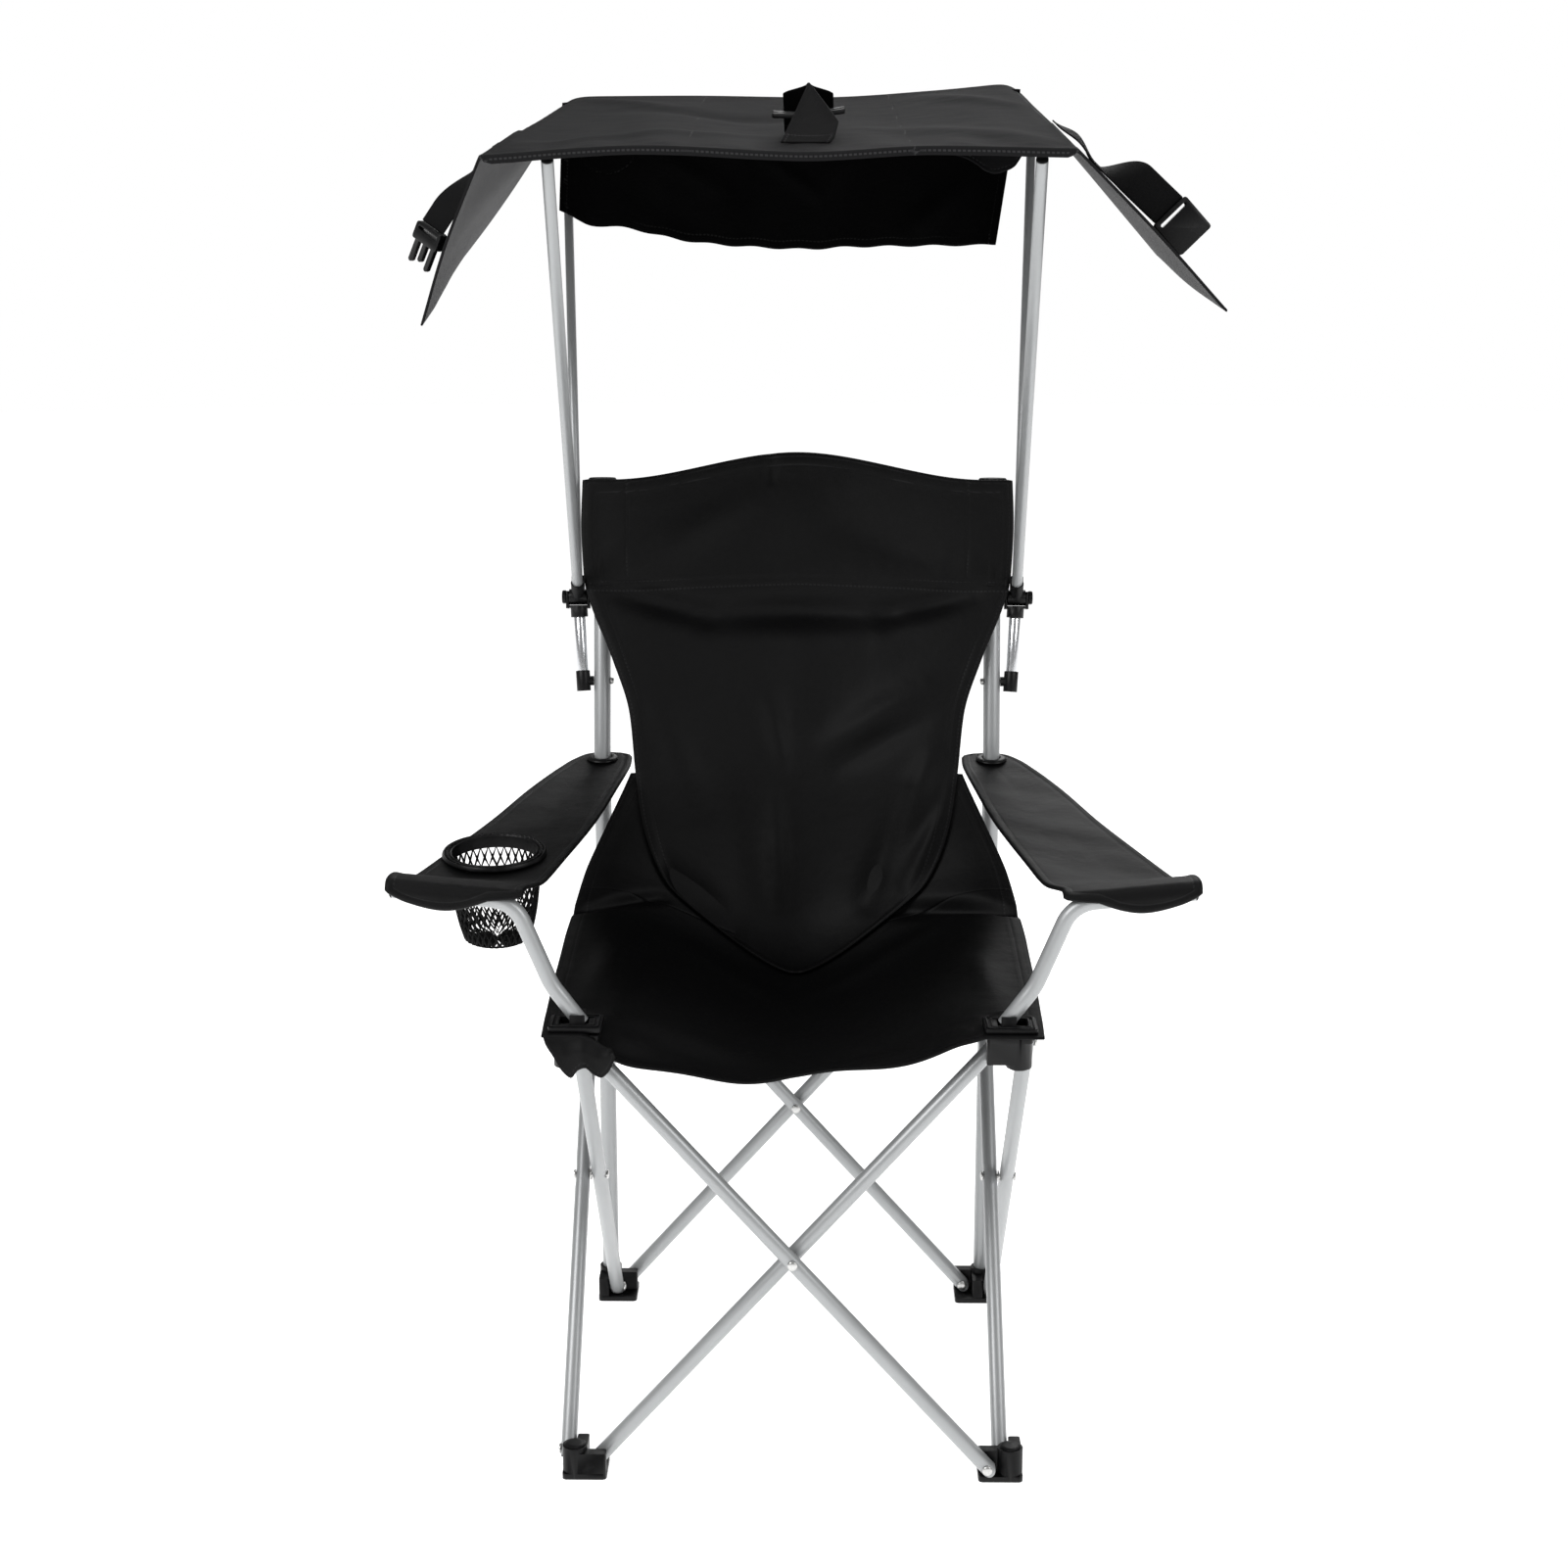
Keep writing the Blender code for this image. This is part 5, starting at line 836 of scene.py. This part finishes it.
TUBE_WRAP = .0112
OVER_ROWS, LIP_ROWS = 14, 12
arm_up = arm_face.to_3x3() @ Vector((0, 0, 1))
cup_place = at(arm_face @ Vector((-0.305, CORNER - ARM_REACH * .7328, 0)))
for hand, side in HANDS:
    rows, cols = 110, 57
    inner, outer = walked(INNER_EDGE, rows), walked(OUTER_EDGE, rows)
    share = np.linspace(0, 1, cols)[None, :, None]
    flat = inner[:, None] * (1 - share) + outer[:, None] * share
    from_edge = np.linalg.norm(outer - inner, axis=1)[:, None] * np.minimum(share[..., 0], 1 - share[..., 0])
    ends = np.minimum(lengths(flat, 0), lengths(flat, 0)[-1] - lengths(flat, 0))
    edge = np.minimum(from_edge, ends)
    sag = .0035 * eased(from_edge / .05) * np.sin(np.pi * np.clip(ends / .2, 0, 1))
    dimple = .0004 * np.sin(flat[..., 1] * 90 + flat[..., 0] * 40) * eased(from_edge / .02)
    matrix = np.array(arm_face)
    local = np.concatenate((flat * np.array((side, 1)), -.0021 - (sag + dimple)[..., None],
                            np.ones((rows, cols, 1))), -1)
    grid = (local @ matrix.T)[..., :3]
    post_z = .6015 + (np.abs(grid[..., 0]) - .2705) * (.0115 / .1175)
    from_front = lengths(flat, 0)[-1] - lengths(flat, 0)
    grid[..., 2] += (post_z + TUBE_WRAP - grid[..., 2]) * (1 - eased((from_front - .004) / .055))
    wrap, tips = [], share[0, :, 0]
    around = faired([.45, .70, .86, .97, 1.0, 1.0, 1.0, .90], tips * 7)
    fall = .0005 + .0105 * np.sin(np.pi * np.clip((tips - .25) / .75, 0, 1))
    for k in range(1, OVER_ROWS + LIP_ROWS + 1):
        angle = np.radians(90 + 90 * min(k / OVER_ROWS, 1) * around)
        below = max(k - OVER_ROWS, 0) / LIP_ROWS * fall
        ripple = .0015 * np.sin(tips * 14) * (below / .02)
        wrap.append(np.stack((grid[-1, :, 0], .0118 * np.cos(angle) - FORK - ripple,
                              post_z[-1] + TUBE_WRAP * np.sin(angle) - below), -1))
    grid = np.concatenate((grid, np.array(wrap)))
    more = lengths(grid, 0)
    to_end = more[-1] - more
    side_gap = np.concatenate((from_edge, np.repeat(from_edge[-1:], len(wrap), 0)))
    edge = np.minimum(np.minimum(side_gap, more), to_end)
    if side < 0:
        grid, edge = grid[:, ::-1], edge[:, ::-1]
    grid, edge = grid[::-1], edge[::-1]
    thick = .0030 + .0016 * np.exp(-((edge - .0025) / .0030) ** 2)
    front = lengths(grid, 0)
    seam = np.minimum(np.abs(edge - .0072), np.abs(front - .052))
    arm = sewn(hand + "_arm_panel", grid, thick, seam, front)
    post_hole = at(arm_face @ Vector((side * CORNER, CORNER, 0)))
    drilled(arm, post_hole, arm_up, 0.0122)
    if side < 0:
        drilled(arm, cup_place, arm_up, 0.047)
    stands_for(arm, black_cloth, hand + "_arm_cloth")
    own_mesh(arm)
    ring = turned(hand + "_arm_ring",
                  [(.0104, .0022), (.0110, .0030), (.0128, .0032), (.0158, .0026), (.0172, .0014),
                   (.0175, .0003), (.0118, .0003), (.0118, -.0040), (.0104, -.0040), (.0104, .0022)],
                  post_hole, arm_up, 40)
    stands_for(ring, black_nylon, hand + "_arm_grommet")

# ---------------------------------------------------------------- cup holder
# A black ring with a roped edge snaps into the left arm, and a knitted net pocket is
# sewn to its collar and hangs below the arm.
cup_ring = turned("cup_holder_ring",
                  [(.0430, .0020), (.0433, .0032), (.0441, .0037), (.0449, .0030), (.0454, .0014),
                   (.0460, .0014), (.0466, .0032), (.0478, .0042), (.0490, .0040), (.0496, .0020),
                   (.0502, .0019), (.0508, .0034), (.0518, .0038), (.0528, .0022), (.0530, .0003),
                   (.0462, .0003), (.0462, -.0090), (.0430, -.0090), (.0430, .0020)], cup_place, arm_up, 144)
for vertex in cup_ring.data.vertices:
    gap = vertex.co - cup_place
    rise = gap.dot(arm_up)
    radius = (gap - arm_up * rise).length
    if rise > .0030 and .0465 < radius < .0495:
        turn = math.atan2(gap.x, gap.y)
        vertex.co += arm_up * .0007 * math.sin(turn * 48 + radius * 900)
stands_for(cup_ring, black_nylon, "cup_ring")

NET_RINGS = 13
NET_STITCHES = 34
WALL_SHARE = .78
knots, crossings = [], []
down_way = -arm_up
side_way = Vector((1, 0, 0))
other_way = down_way.cross(side_way)
for ring in range(NET_RINGS):
    share = ring / (NET_RINGS - 1)
    fall = .0085 + .0835 * min(share / WALL_SHARE, 1) ** .9
    radius = .0446 - .0120 * min(share / WALL_SHARE, 1) ** 2
    if share > WALL_SHARE:
        inwards = (share - WALL_SHARE) / (1 - WALL_SHARE)
        radius = .0326 * (1 - inwards) + .0020
        fall = .0920 + .0012 * inwards
    before = (ring - 1) * NET_STITCHES
    for k in range(NET_STITCHES):
        turn = 2 * math.pi * (k + .5 * (ring % 2)) / NET_STITCHES
        out = side_way * math.cos(turn) + other_way * math.sin(turn)
        knots.append(cup_place + down_way * fall + out * radius)
        if ring:
            here = ring * NET_STITCHES + k
            crossings.append((here, before + k))
            crossings.append((here, before + (k + (1 if ring % 2 else -1)) % NET_STITCHES))
mesh = bpy.data.meshes.new("cup_holder_net")
mesh.from_pydata(knots, crossings, [])
net = new_piece("cup_holder_net", mesh)
bpy.ops.object.convert(target="CURVE")
net.data.bevel_depth = 0.0013
net.data.bevel_resolution = 1
bpy.ops.object.convert(target="MESH")
bpy.ops.object.shade_smooth()
yarn = Finish("black_yarn", Specular_IOR_Level=0.15)
yarn_fuzz = yarn.noise(yarn.surface(), 1800, 3.0)
black_yarn = yarn.wear(yarn.blend(yarn_fuzz, (0.0020, 0.0020, 0.0020), (0.0080, 0.0080, 0.0082)),
                       0.7 + yarn_fuzz * 0.2, yarn.bumped(yarn_fuzz, 0.0002, 0.6))
stands_for(net, black_yarn, "cup_net")

# ---------------------------------------------------------------- masts
# Short bright alloy tubes beside the back posts. A moulded bracket bolts each to its
# post, and a moulded yoke on its top holds the canopy's knuckle and its tilt knob.
alloy = Finish("bright_alloy", Metallic=1.0)
alloy_place = alloy.surface()
draw_lines = alloy.noise(alloy_place, 900, 3.0, (1, 1, 0.02))
alloy_cloud = alloy.noise(alloy_place, 30, 3.0)
bright_alloy = alloy.wear(alloy.blend(alloy_cloud, (0.74, 0.75, 0.77), (0.84, 0.85, 0.87)),
                          0.12 + draw_lines * 0.16, alloy.bumped(draw_lines, 0.00004, 0.4))
BRACKET_HEIGHT = .738
MAST_WALL = .0012
POLE_WALL = .001
bolt_profile = [(0, .0135), (.002, .0135), (.002, -.0098), (.0042, -.0098), (.0042, -.0112), (.0036, -.0126),
                (.0022, -.0133), (0, -.0133)]
knob_profile = [(0, -.0162), (.0036, -.0162), (.0040, -.0156), (.0040, -.0138), (.0020, -.0138),
                (.0020, .0138), (.0074, .0138), (.0078, .0143), (.0078, .0172), (.0070, .0182),
                (.0050, .0183), (.0044, .0178), (0, .0178)]
for hand, side in HANDS:
    turn = Matrix.Translation(at((side * CORNER, post_depth(BRACKET_HEIGHT), BRACKET_HEIGHT)))
    turn = turn @ Matrix.Rotation(-LEAN, 4, "X") @ Matrix.Scale(side, 4, (1, 0, 0))
    low, high = turn @ Vector((.0216, 0, 0)), turn @ Vector((.0273, 0, .095))
    along = (high - low).normalized()
    mast = drawn_tube(hand + "_bright_mast", [low - along * .0082, low + along * .082], .0065)
    stands_for(walled(mast, MAST_WALL), bright_alloy, hand + "_mast")
    moulded(hand + "_mast_bracket", hand + "_mast_socket", 0.0007)
    moulded(hand + "_mast_yoke", hand + "_mast_fork", 0.0006)
    moulded(hand + "_knuckle", hand + "_pole_knuckle", 0.0005)
    bolt = turned(hand + "_socket_bolt", bolt_profile, turn @ Vector((0, 0, 0)), (side, 0, 0))
    stands_for(bolt, zinc_plate, hand + "_bracket_bolt")
    knob = turned(hand + "_tilt_handwheel", knob_profile, high, (side, 0, 0), 72)
    for vertex in knob.data.vertices:
        gap = vertex.co - high
        out = gap.x * side
        radius = math.hypot(gap.y, gap.z)
        if out > .0135 and radius > .006:
            pull = 1 - .07 * (0.5 + 0.5 * math.cos(math.atan2(gap.y, gap.z) * 9))
            vertex.co.y = high.y + gap.y * pull
            vertex.co.z = high.z + gap.z * pull
    stands_for(knob, black_nylon, hand + "_tilt_knob")

    # Canopy poles: two powder coated tubes in a V from each knuckle to the hems, with a
    # black plastic plug pushed into each top end.
    for end, tip, radius in (("front", (side * .232, -.128, 1.300), .006),
                             ("rear", (side * .271, .446, 1.370), .0052)):
        node = f"{hand}_{end}_pole"
        tip = at(tip)
        along = (tip - high).normalized()
        pole = drawn_tube(f"{hand}_{end}_canopy_pole", [high + along * .015, tip], radius)
        stands_for(walled(pole, POLE_WALL), powder_coat, node)
        bore = radius - .0013
        plug_profile = [(0, -.012), (bore, -.012), (bore, .0002), (radius, .0003), (radius, .0014),
                        (radius * .8, .0026), (radius * .4, .0032), (0, .0034)]
        carried(turned(node + "_plug", plug_profile, tip, along), black_nylon, body_of[node])

# ---------------------------------------------------------------- canopy
# The canopy is the chair's carry case, unzipped: a top panel with a side wing on each
# edge, black coated polyester outside and grey lining inside, doubled at its hems.
FRONT_LINE = np.array([(-.3693, -.040, 1.1450), (-.3350, -.098, 1.2220), (-.2940, -.140, 1.3030),
                       (-.1400, -.142, 1.3120), (.0100, -.142, 1.3060), (.1300, -.142, 1.3115),
                       (.2640, -.140, 1.3090), (.3400, -.134, 1.2350), (.4110, -.120, 1.1615)])
REAR_LINE = np.array([(-.4153, .430, 1.1820), (-.3450, .446, 1.2900), (-.2720, .460, 1.3890),
                      (-.1300, .463, 1.3900), (.0200, .463, 1.3880), (.1500, .462, 1.3950),
                      (.2490, .460, 1.4040), (.3350, .452, 1.3080), (.4200, .436, 1.2100)])
LEFT_FOLD, RIGHT_FOLD, LAST_PLACE = 2, 6, 8


def section(line, place):
    """Point on a section line, faired within the top and within each wing."""
    place = np.asarray(place, float)
    out = np.zeros(place.shape + (3,))
    for first, last in ((0, LEFT_FOLD), (LEFT_FOLD, RIGHT_FOLD), (RIGHT_FOLD, LAST_PLACE)):
        inside = (place >= first) & (place <= last)
        local = np.clip(place - first, 0, last - first)
        values = np.stack([faired(line[first:last + 1, k], local) for k in range(3)], -1)
        out = np.where(inside[..., None], values, out)
    return out


def canopy_at(place, share):
    """Point of the canopy at a place across it and a share of its depth."""
    front, rear = section(FRONT_LINE, place), section(REAR_LINE, place)
    point = front * (1 - share)[..., None] + rear * share[..., None]
    over = np.clip((place - LEFT_FOLD) / (RIGHT_FOLD - LEFT_FOLD), 0, 1)
    point[..., 2] -= .006 * np.sin(np.pi * share) * np.sin(np.pi * over)
    return point


canopy_cloth = coated_cloth("canopy_shell", (0.0075, 0.0075, 0.008), (0.0125, 0.0125, 0.013),
                            (0.035, 0.035, 0.036), 0.80, Specular_IOR_Level=0.06)
lining_cloth = coated_cloth("canopy_lining", (0.045, 0.045, 0.046), (0.100, 0.100, 0.102),
                            (0.012, 0.012, 0.012), 0.7, Specular_IOR_Level=0.15)
CANOPY_GATHER = (-0.25292, 0.326)
SOFT_STEPS = 16
LIP = .0085

places = np.concatenate((np.linspace(0, 1.9, 34), [1.95, 2.0, 2.03, 2.07], np.linspace(2.12, 5.88, 100),
                         [5.93, 5.97, 6.0, 6.05], np.linspace(6.1, 8, 34)))
shares = np.linspace(0, 1, 96)
place, share = np.meshgrid(places, shares)
grid = canopy_at(place, share)
grid[..., 0] += .013 * np.sin(np.pi * np.clip(place, 0, LEFT_FOLD) / 2) * share ** 2
from_fold = np.minimum(np.abs(place - LEFT_FOLD), np.abs(place - RIGHT_FOLD))
for step in range(SOFT_STEPS):
    softer = grid.copy()
    softer[:, 1:-1] = grid[:, 1:-1] * .5 + (grid[:, :-2] + grid[:, 2:]) * .25
    rounded = (from_fold < .3) & (share > .35) & (share * SOFT_STEPS > step)
    grid = np.where(rounded[..., None], softer, grid)
depth_run = lengths(grid, 0)
wing = np.maximum(LEFT_FOLD - place, place - RIGHT_FOLD) / 2
top = (place > LEFT_FOLD) & (place < RIGHT_FOLD)
puff = .0028 * np.sin(wing * np.pi * 3.2 + share * 2.2) * eased(wing * 3) * np.sin(np.pi * share)
puff = np.where(wing > 0, puff, 0)
ripple = np.where(top, .0022 * np.sin(grid[..., 0] * 38 + 1.2 * share) * np.sin(np.pi * share)
                  + .0016 * np.sin(grid[..., 0] * 90 + 5 * share) * (1 - share) ** 3, 0)
ripple = ripple + creased(grid[..., 0], grid[..., 1], [
    (-.250, -.060, -.050, .060, .022, .003), (.240, -.080, .080, .120, .024, .003),
    (-.180, .300, .000, .220, .030, -.004), (.150, .400, .230, .250, .020, .004),
    (-.240, .430, -.150, .330, .018, .003)]) * top
calm = eased(np.minimum(share, 1 - share) / .06)
grid = grid + normals_of(grid) * ((puff + ripple) * calm)[..., None]
lip_turns = np.linspace(0, 1, 7)[1:]
normal = normals_of(grid)
forward = grid[0] - grid[1]
forward /= np.linalg.norm(forward, axis=1, keepdims=True)
on_top = np.minimum(places - (LEFT_FOLD - .03), RIGHT_FOLD + .03 - places)
deep = .10 + .90 * eased(on_top / .10)[:, None]
lip = []
for turn in lip_turns:
    angle = turn * math.radians(80)
    drop = .0030 * (1 - math.cos(angle)) + .0035 * turn ** 2
    lip.append(grid[0] + deep * (forward * .0035 * math.sin(angle) - normal[0] * drop))
grid = np.concatenate((np.array(lip[::-1]), grid))
depth_run = np.concatenate((-LIP * lip_turns[::-1, None] * deep.T, depth_run))
place = np.concatenate((place[:len(lip)], place))
left_seam = np.abs(grid[..., 0] - (-.1015 - .008 * np.clip(depth_run / .6, 0, 1)))
right_seam = np.abs(grid[..., 0] - (.1127 - .009 * np.clip(depth_run / .6, 0, 1)))
across_run = lengths(grid, 1)
wing_edge = from_sides(across_run)
rear_edge = depth_run[-1] - depth_run
hem = np.minimum.reduce([np.abs(depth_run + .006), np.abs(depth_run - .004), np.abs(rear_edge - .004),
                         np.abs(rear_edge - .012), np.abs(wing_edge - .004), np.abs(wing_edge - .012)])
fold_seam = np.minimum(np.abs(place - LEFT_FOLD), np.abs(place - RIGHT_FOLD)) * .09
seam = np.minimum.reduce([hem, left_seam, right_seam, fold_seam])
runs_back = (np.minimum(left_seam, right_seam) < .004) | (wing_edge < .02)
run = np.where(runs_back, depth_run, across_run)
thick = hemmed(wing_edge, np.minimum(depth_run + LIP * deep.T, rear_edge), .0014, .0024, .016)
canopy = sewn("canopy_sheet", grid, thick, seam, run, lining=True)
gathered(stands_for(canopy, canopy_cloth, "canopy_cloth"), *CANOPY_GATHER)
canopy.data.materials.append(lining_cloth)
declared(grid,
         [f"{hand}_{end}_canopy_pole" for hand in ("left", "right") for end in ("front", "rear")])

# ---------------------------------------------------------------- rear flap
# The end cover of the case hangs loose inside the canopy's rear edge, sewn along its
# top. It is the same lined cloth, creased from being folded in the bag. Its colour is a
# near-black copy of the canopy cloth: painted shade for the shadow under the canopy.
# Painted shade: the flap's cloth is the canopy cloth made darker for the canopy's shadow.
flap_painted_shade_cloth = coated_cloth("shaded_flap_cloth", (0.0008, 0.0008, 0.0009), (0.0022, 0.0022, 0.0023),
                          (0.012, 0.012, 0.012), 0.75, Specular_IOR_Level=0.03)
i, j = spread(60, 141)
top_x = -.272 + .526 * i
bottom_x = -.2735 + .498 * i
top_y = .430
share = (top_y + .140) / .600 * np.ones_like(i)
top_places = np.linspace(LEFT_FOLD, RIGHT_FOLD, 200)
place_of = np.interp(top_x, section(REAR_LINE, top_places)[:, 0], top_places)
top_z = canopy_at(place_of, share)[..., 2] - .0040
bottom_z = faired([1.2600, 1.2440, 1.2415, 1.2335, 1.2265, 1.2225, 1.2200, 1.2180, 1.2170, 1.2190, 1.2200,
                   1.2205, 1.2210, 1.2215, 1.2220], i * 14) + .0010 * np.sin(i * 60)
z = top_z + (bottom_z - top_z) * j
held = 1 - eased(np.minimum(i, 1 - i) / .16)
# The flap's ends lie against the rear poles, which lean back as they rise.
POLE_SLOPE = (.446 - .2543) / (1.374 - .8313)
push = held * (.0075 + (top_z - z) * POLE_SLOPE)
wave = (1 - held) * (.006 * np.sin(2 * np.pi * 3 * i) + .0035 * np.sin(2 * np.pi * 7.3 * i + 1) * j) * j
grid = np.stack((top_x + (bottom_x - top_x) * j, top_y - push - wave, z), -1)
flap_creases = [(-.165, 1.325, -.100, 1.288, .012, .009), (-.040, 1.322, .020, 1.278, .009, .010),
                (-.080, 1.320, -.075, 1.280, .012, -.008), (.060, 1.330, .040, 1.290, .012, .007),
                (.205, 1.300, .130, 1.235, .016, .012), (-.200, 1.290, -.120, 1.240, .018, -.005)]
grid = grid - np.array([0, 1, 0]) * (creased(grid[..., 0], z, flap_creases) * (1 - held) * j)[..., None]
grid = grid[::-1]
across_run, drop_run = lengths(grid, 1), lengths(grid, 0)
edge = from_sides(across_run)
arcs = [np.abs(np.hypot(grid[..., 0] - x, grid[..., 2] - z) - radius)
        for x, z, radius in ((-.222, 1.336, .034), (-.303, 1.306, .036))]
seam = np.minimum.reduce([np.abs(edge - .008), np.abs(drop_run - .008), *arcs])
flap = sewn("rear_flap_sheet", grid, hemmed(edge, drop_run, .0012, .0022, .010), seam,
            np.where(edge < .012, drop_run, across_run))
gathered(stands_for(flap, flap_painted_shade_cloth, "rear_flap"), *CANOPY_GATHER)
declared(grid, ["canopy_sheet"])

# The lining's loose corner is folded down in front of the flap at its right end.
i, j = spread(24, 61)
low_z = faired([1.3240, 1.3225, 1.3205, 1.3170, 1.3110, 1.3035, 1.3005, 1.3030, 1.3080, 1.3230], i * 9)
high_z = 1.3300 + .028 * i
grid = np.stack((.158 + .098 * i, .380 - .012 * np.sin(np.pi * i) * j - .004 * j,
                 high_z + (low_z - high_z) * j), -1)[::-1]
across_run, drop_run = lengths(grid, 1), lengths(grid, 0)
corner = sewn("lining_corner", grid, .0014, np.abs(drop_run - .005), across_run)
gathered(carried(corner, canopy_cloth, "left_canopy_arm"), *CANOPY_GATHER)
declared(grid, ["canopy_sheet"])

# ---------------------------------------------------------------- straps
# Two 38 mm polypropylene webbing straps sewn to the wings' folds, which close the case.
# The left one ends in a side-release buckle's insert and the right one in its housing.


def webbing(name):
    """Ribbed narrow weave with bound edges."""
    web, place, across, along, seam, run = cut_cloth(name, Specular_IOR_Level=0.08)
    rib = across.wave(0.0024).size() * (0.6 + along.wave(0.0012).size() * 0.4)
    fuzz = web.noise(place, 700, 3.0)
    stitched = (seam < 0.0008) * (run.remainder(0.0034) < 0.6)
    colour = web.blend(rib * 0.6 + fuzz * 0.4, (0.0016, 0.0016, 0.0017), (0.0050, 0.0050, 0.0053))
    colour = web.blend(stitched, colour, (0.02, 0.02, 0.021))
    return web.wear(colour, 0.6 + fuzz * 0.15, web.bumped(rib * 0.8 + fuzz * 0.3 + stitched, 0.0004, 0.7))


black_webbing = webbing("black_webbing")


def canopy_frame(place, share):
    """Point, normal and the front-to-rear way of the canopy at a place."""
    places = np.array([place, place + .02, place - .02, place, place])
    shares = np.array([share, share, share, share + .02, share - .02])
    here, after, before, further, nearer = canopy_at(places, shares)
    normal = np.cross(after - before, further - nearer)
    back = further - nearer
    return here, normal / np.linalg.norm(normal), back / np.linalg.norm(back)


HALF_WEB = .019
ON_CLOTH = .0027
RIGHT_GATHER = (0.24368, 0.326)
rows, cols = 80, 17
for hand, start, end, depth, lift, on_edge, turns_from, turns_for, gather in (
        ("left", 1.96, .92, .20, .0225, 42, .10, .70, CANOPY_GATHER),
        ("right", 6.04, 7.302, .38, .0255, 78, .44, .26, RIGHT_GATHER)):
    end_stand = lift - HALF_WEB * math.sin(math.radians(on_edge))
    lines = []
    for k in range(rows):
        t = k / (rows - 1)
        here, normal, back = canopy_frame(start + (end - start) * t, depth)
        loop = math.sin(math.pi * min(t / .40, 1)) ** 2
        turn = math.radians(on_edge) * float(eased((t - turns_from) / turns_for)) + .12 * loop
        stand = HALF_WEB * math.sin(turn) + end_stand * t ** 2
        middle = here + normal * (ON_CLOTH + stand + .0040 * loop)
        over = back * math.cos(turn) + normal * math.sin(turn)
        bow = .0015 * math.sin(math.pi * t)
        lines.append([middle + over * w * HALF_WEB + normal * bow * (1 - w * w)
                      for w in np.linspace(-1, 1, cols)])
    grid = np.array(lines)
    if hand == "left":
        grid = grid[:, ::-1]
    across, along = lengths(grid, 1), lengths(grid, 0)
    edge = from_sides(across)
    box_gap = np.minimum.reduce([np.abs(edge - .003), np.abs(along - .004), np.abs(along - .028)])
    strap = sewn(hand + "_case_strap", grid, .0016, np.where(along < .03, box_gap, 1), along + across)
    gathered(stands_for(strap, black_webbing, hand + "_strap"), *gather)
    declared(grid, ["canopy_sheet"])
    gathered(moulded(hand + "_strap_buckle", hand + "_case_buckle", 0.0006), *gather)

# ---------------------------------------------------------------- carry handle
# Webbing folded to a peak over the canopy's middle, with its raw edges turned out, and
# a double-ended buckle insert threaded under it.
PLACE_WIDTH = .130
rows, cols = 81, 33
lines = []
for k in range(rows):
    t = k / (rows - 1)
    share_back = .160 + .215 * t
    rise = 1 - abs(2 * t - 1)
    near = -.0235 * (1 - rise), float(np.interp(rise, (0, .10, .34, 1), (.0225, .0265, .0300, .0010)))
    wide = .0008 + .0227 * (1 - float(eased((rise - .78) / .22)))
    row = []
    for w in np.linspace(0, 1, cols):
        x = near[0] + (near[1] - near[0]) * w if t < .5 else wide * (2 * w - 1)
        ground = canopy_at(np.array([4 + x / PLACE_WIDTH]), np.array([share_back]))[0]
        dish = .0030 * (1 - (2 * w - 1) ** 2) * math.sin(math.pi * rise)
        row.append(ground + np.array((0, 0, ON_CLOTH + .0520 * rise - dish)))
    lines.append(row)
grid = np.array(lines)
across, along = lengths(grid, 1), lengths(grid, 0)
edge = from_sides(across)
foot_run = np.minimum(along, along[-1] - along)
stitch = np.where(foot_run < .014, np.minimum(np.abs(edge - .003), np.abs(foot_run - .011)), 1)
handle = sewn("folded_handle", grid, .0016, stitch, along + across)
stands_for(handle, black_webbing, "carry_handle")
declared(grid, ["canopy_sheet"])
insert = moulded("handle_buckle", "double_buckle_insert", 0.0005)
for vertex in insert.data.vertices:
    vertex.co.z += .0045 * min(max((abs(vertex.co.x - HOME.x) - .012) / .024, 0), 1) ** 2
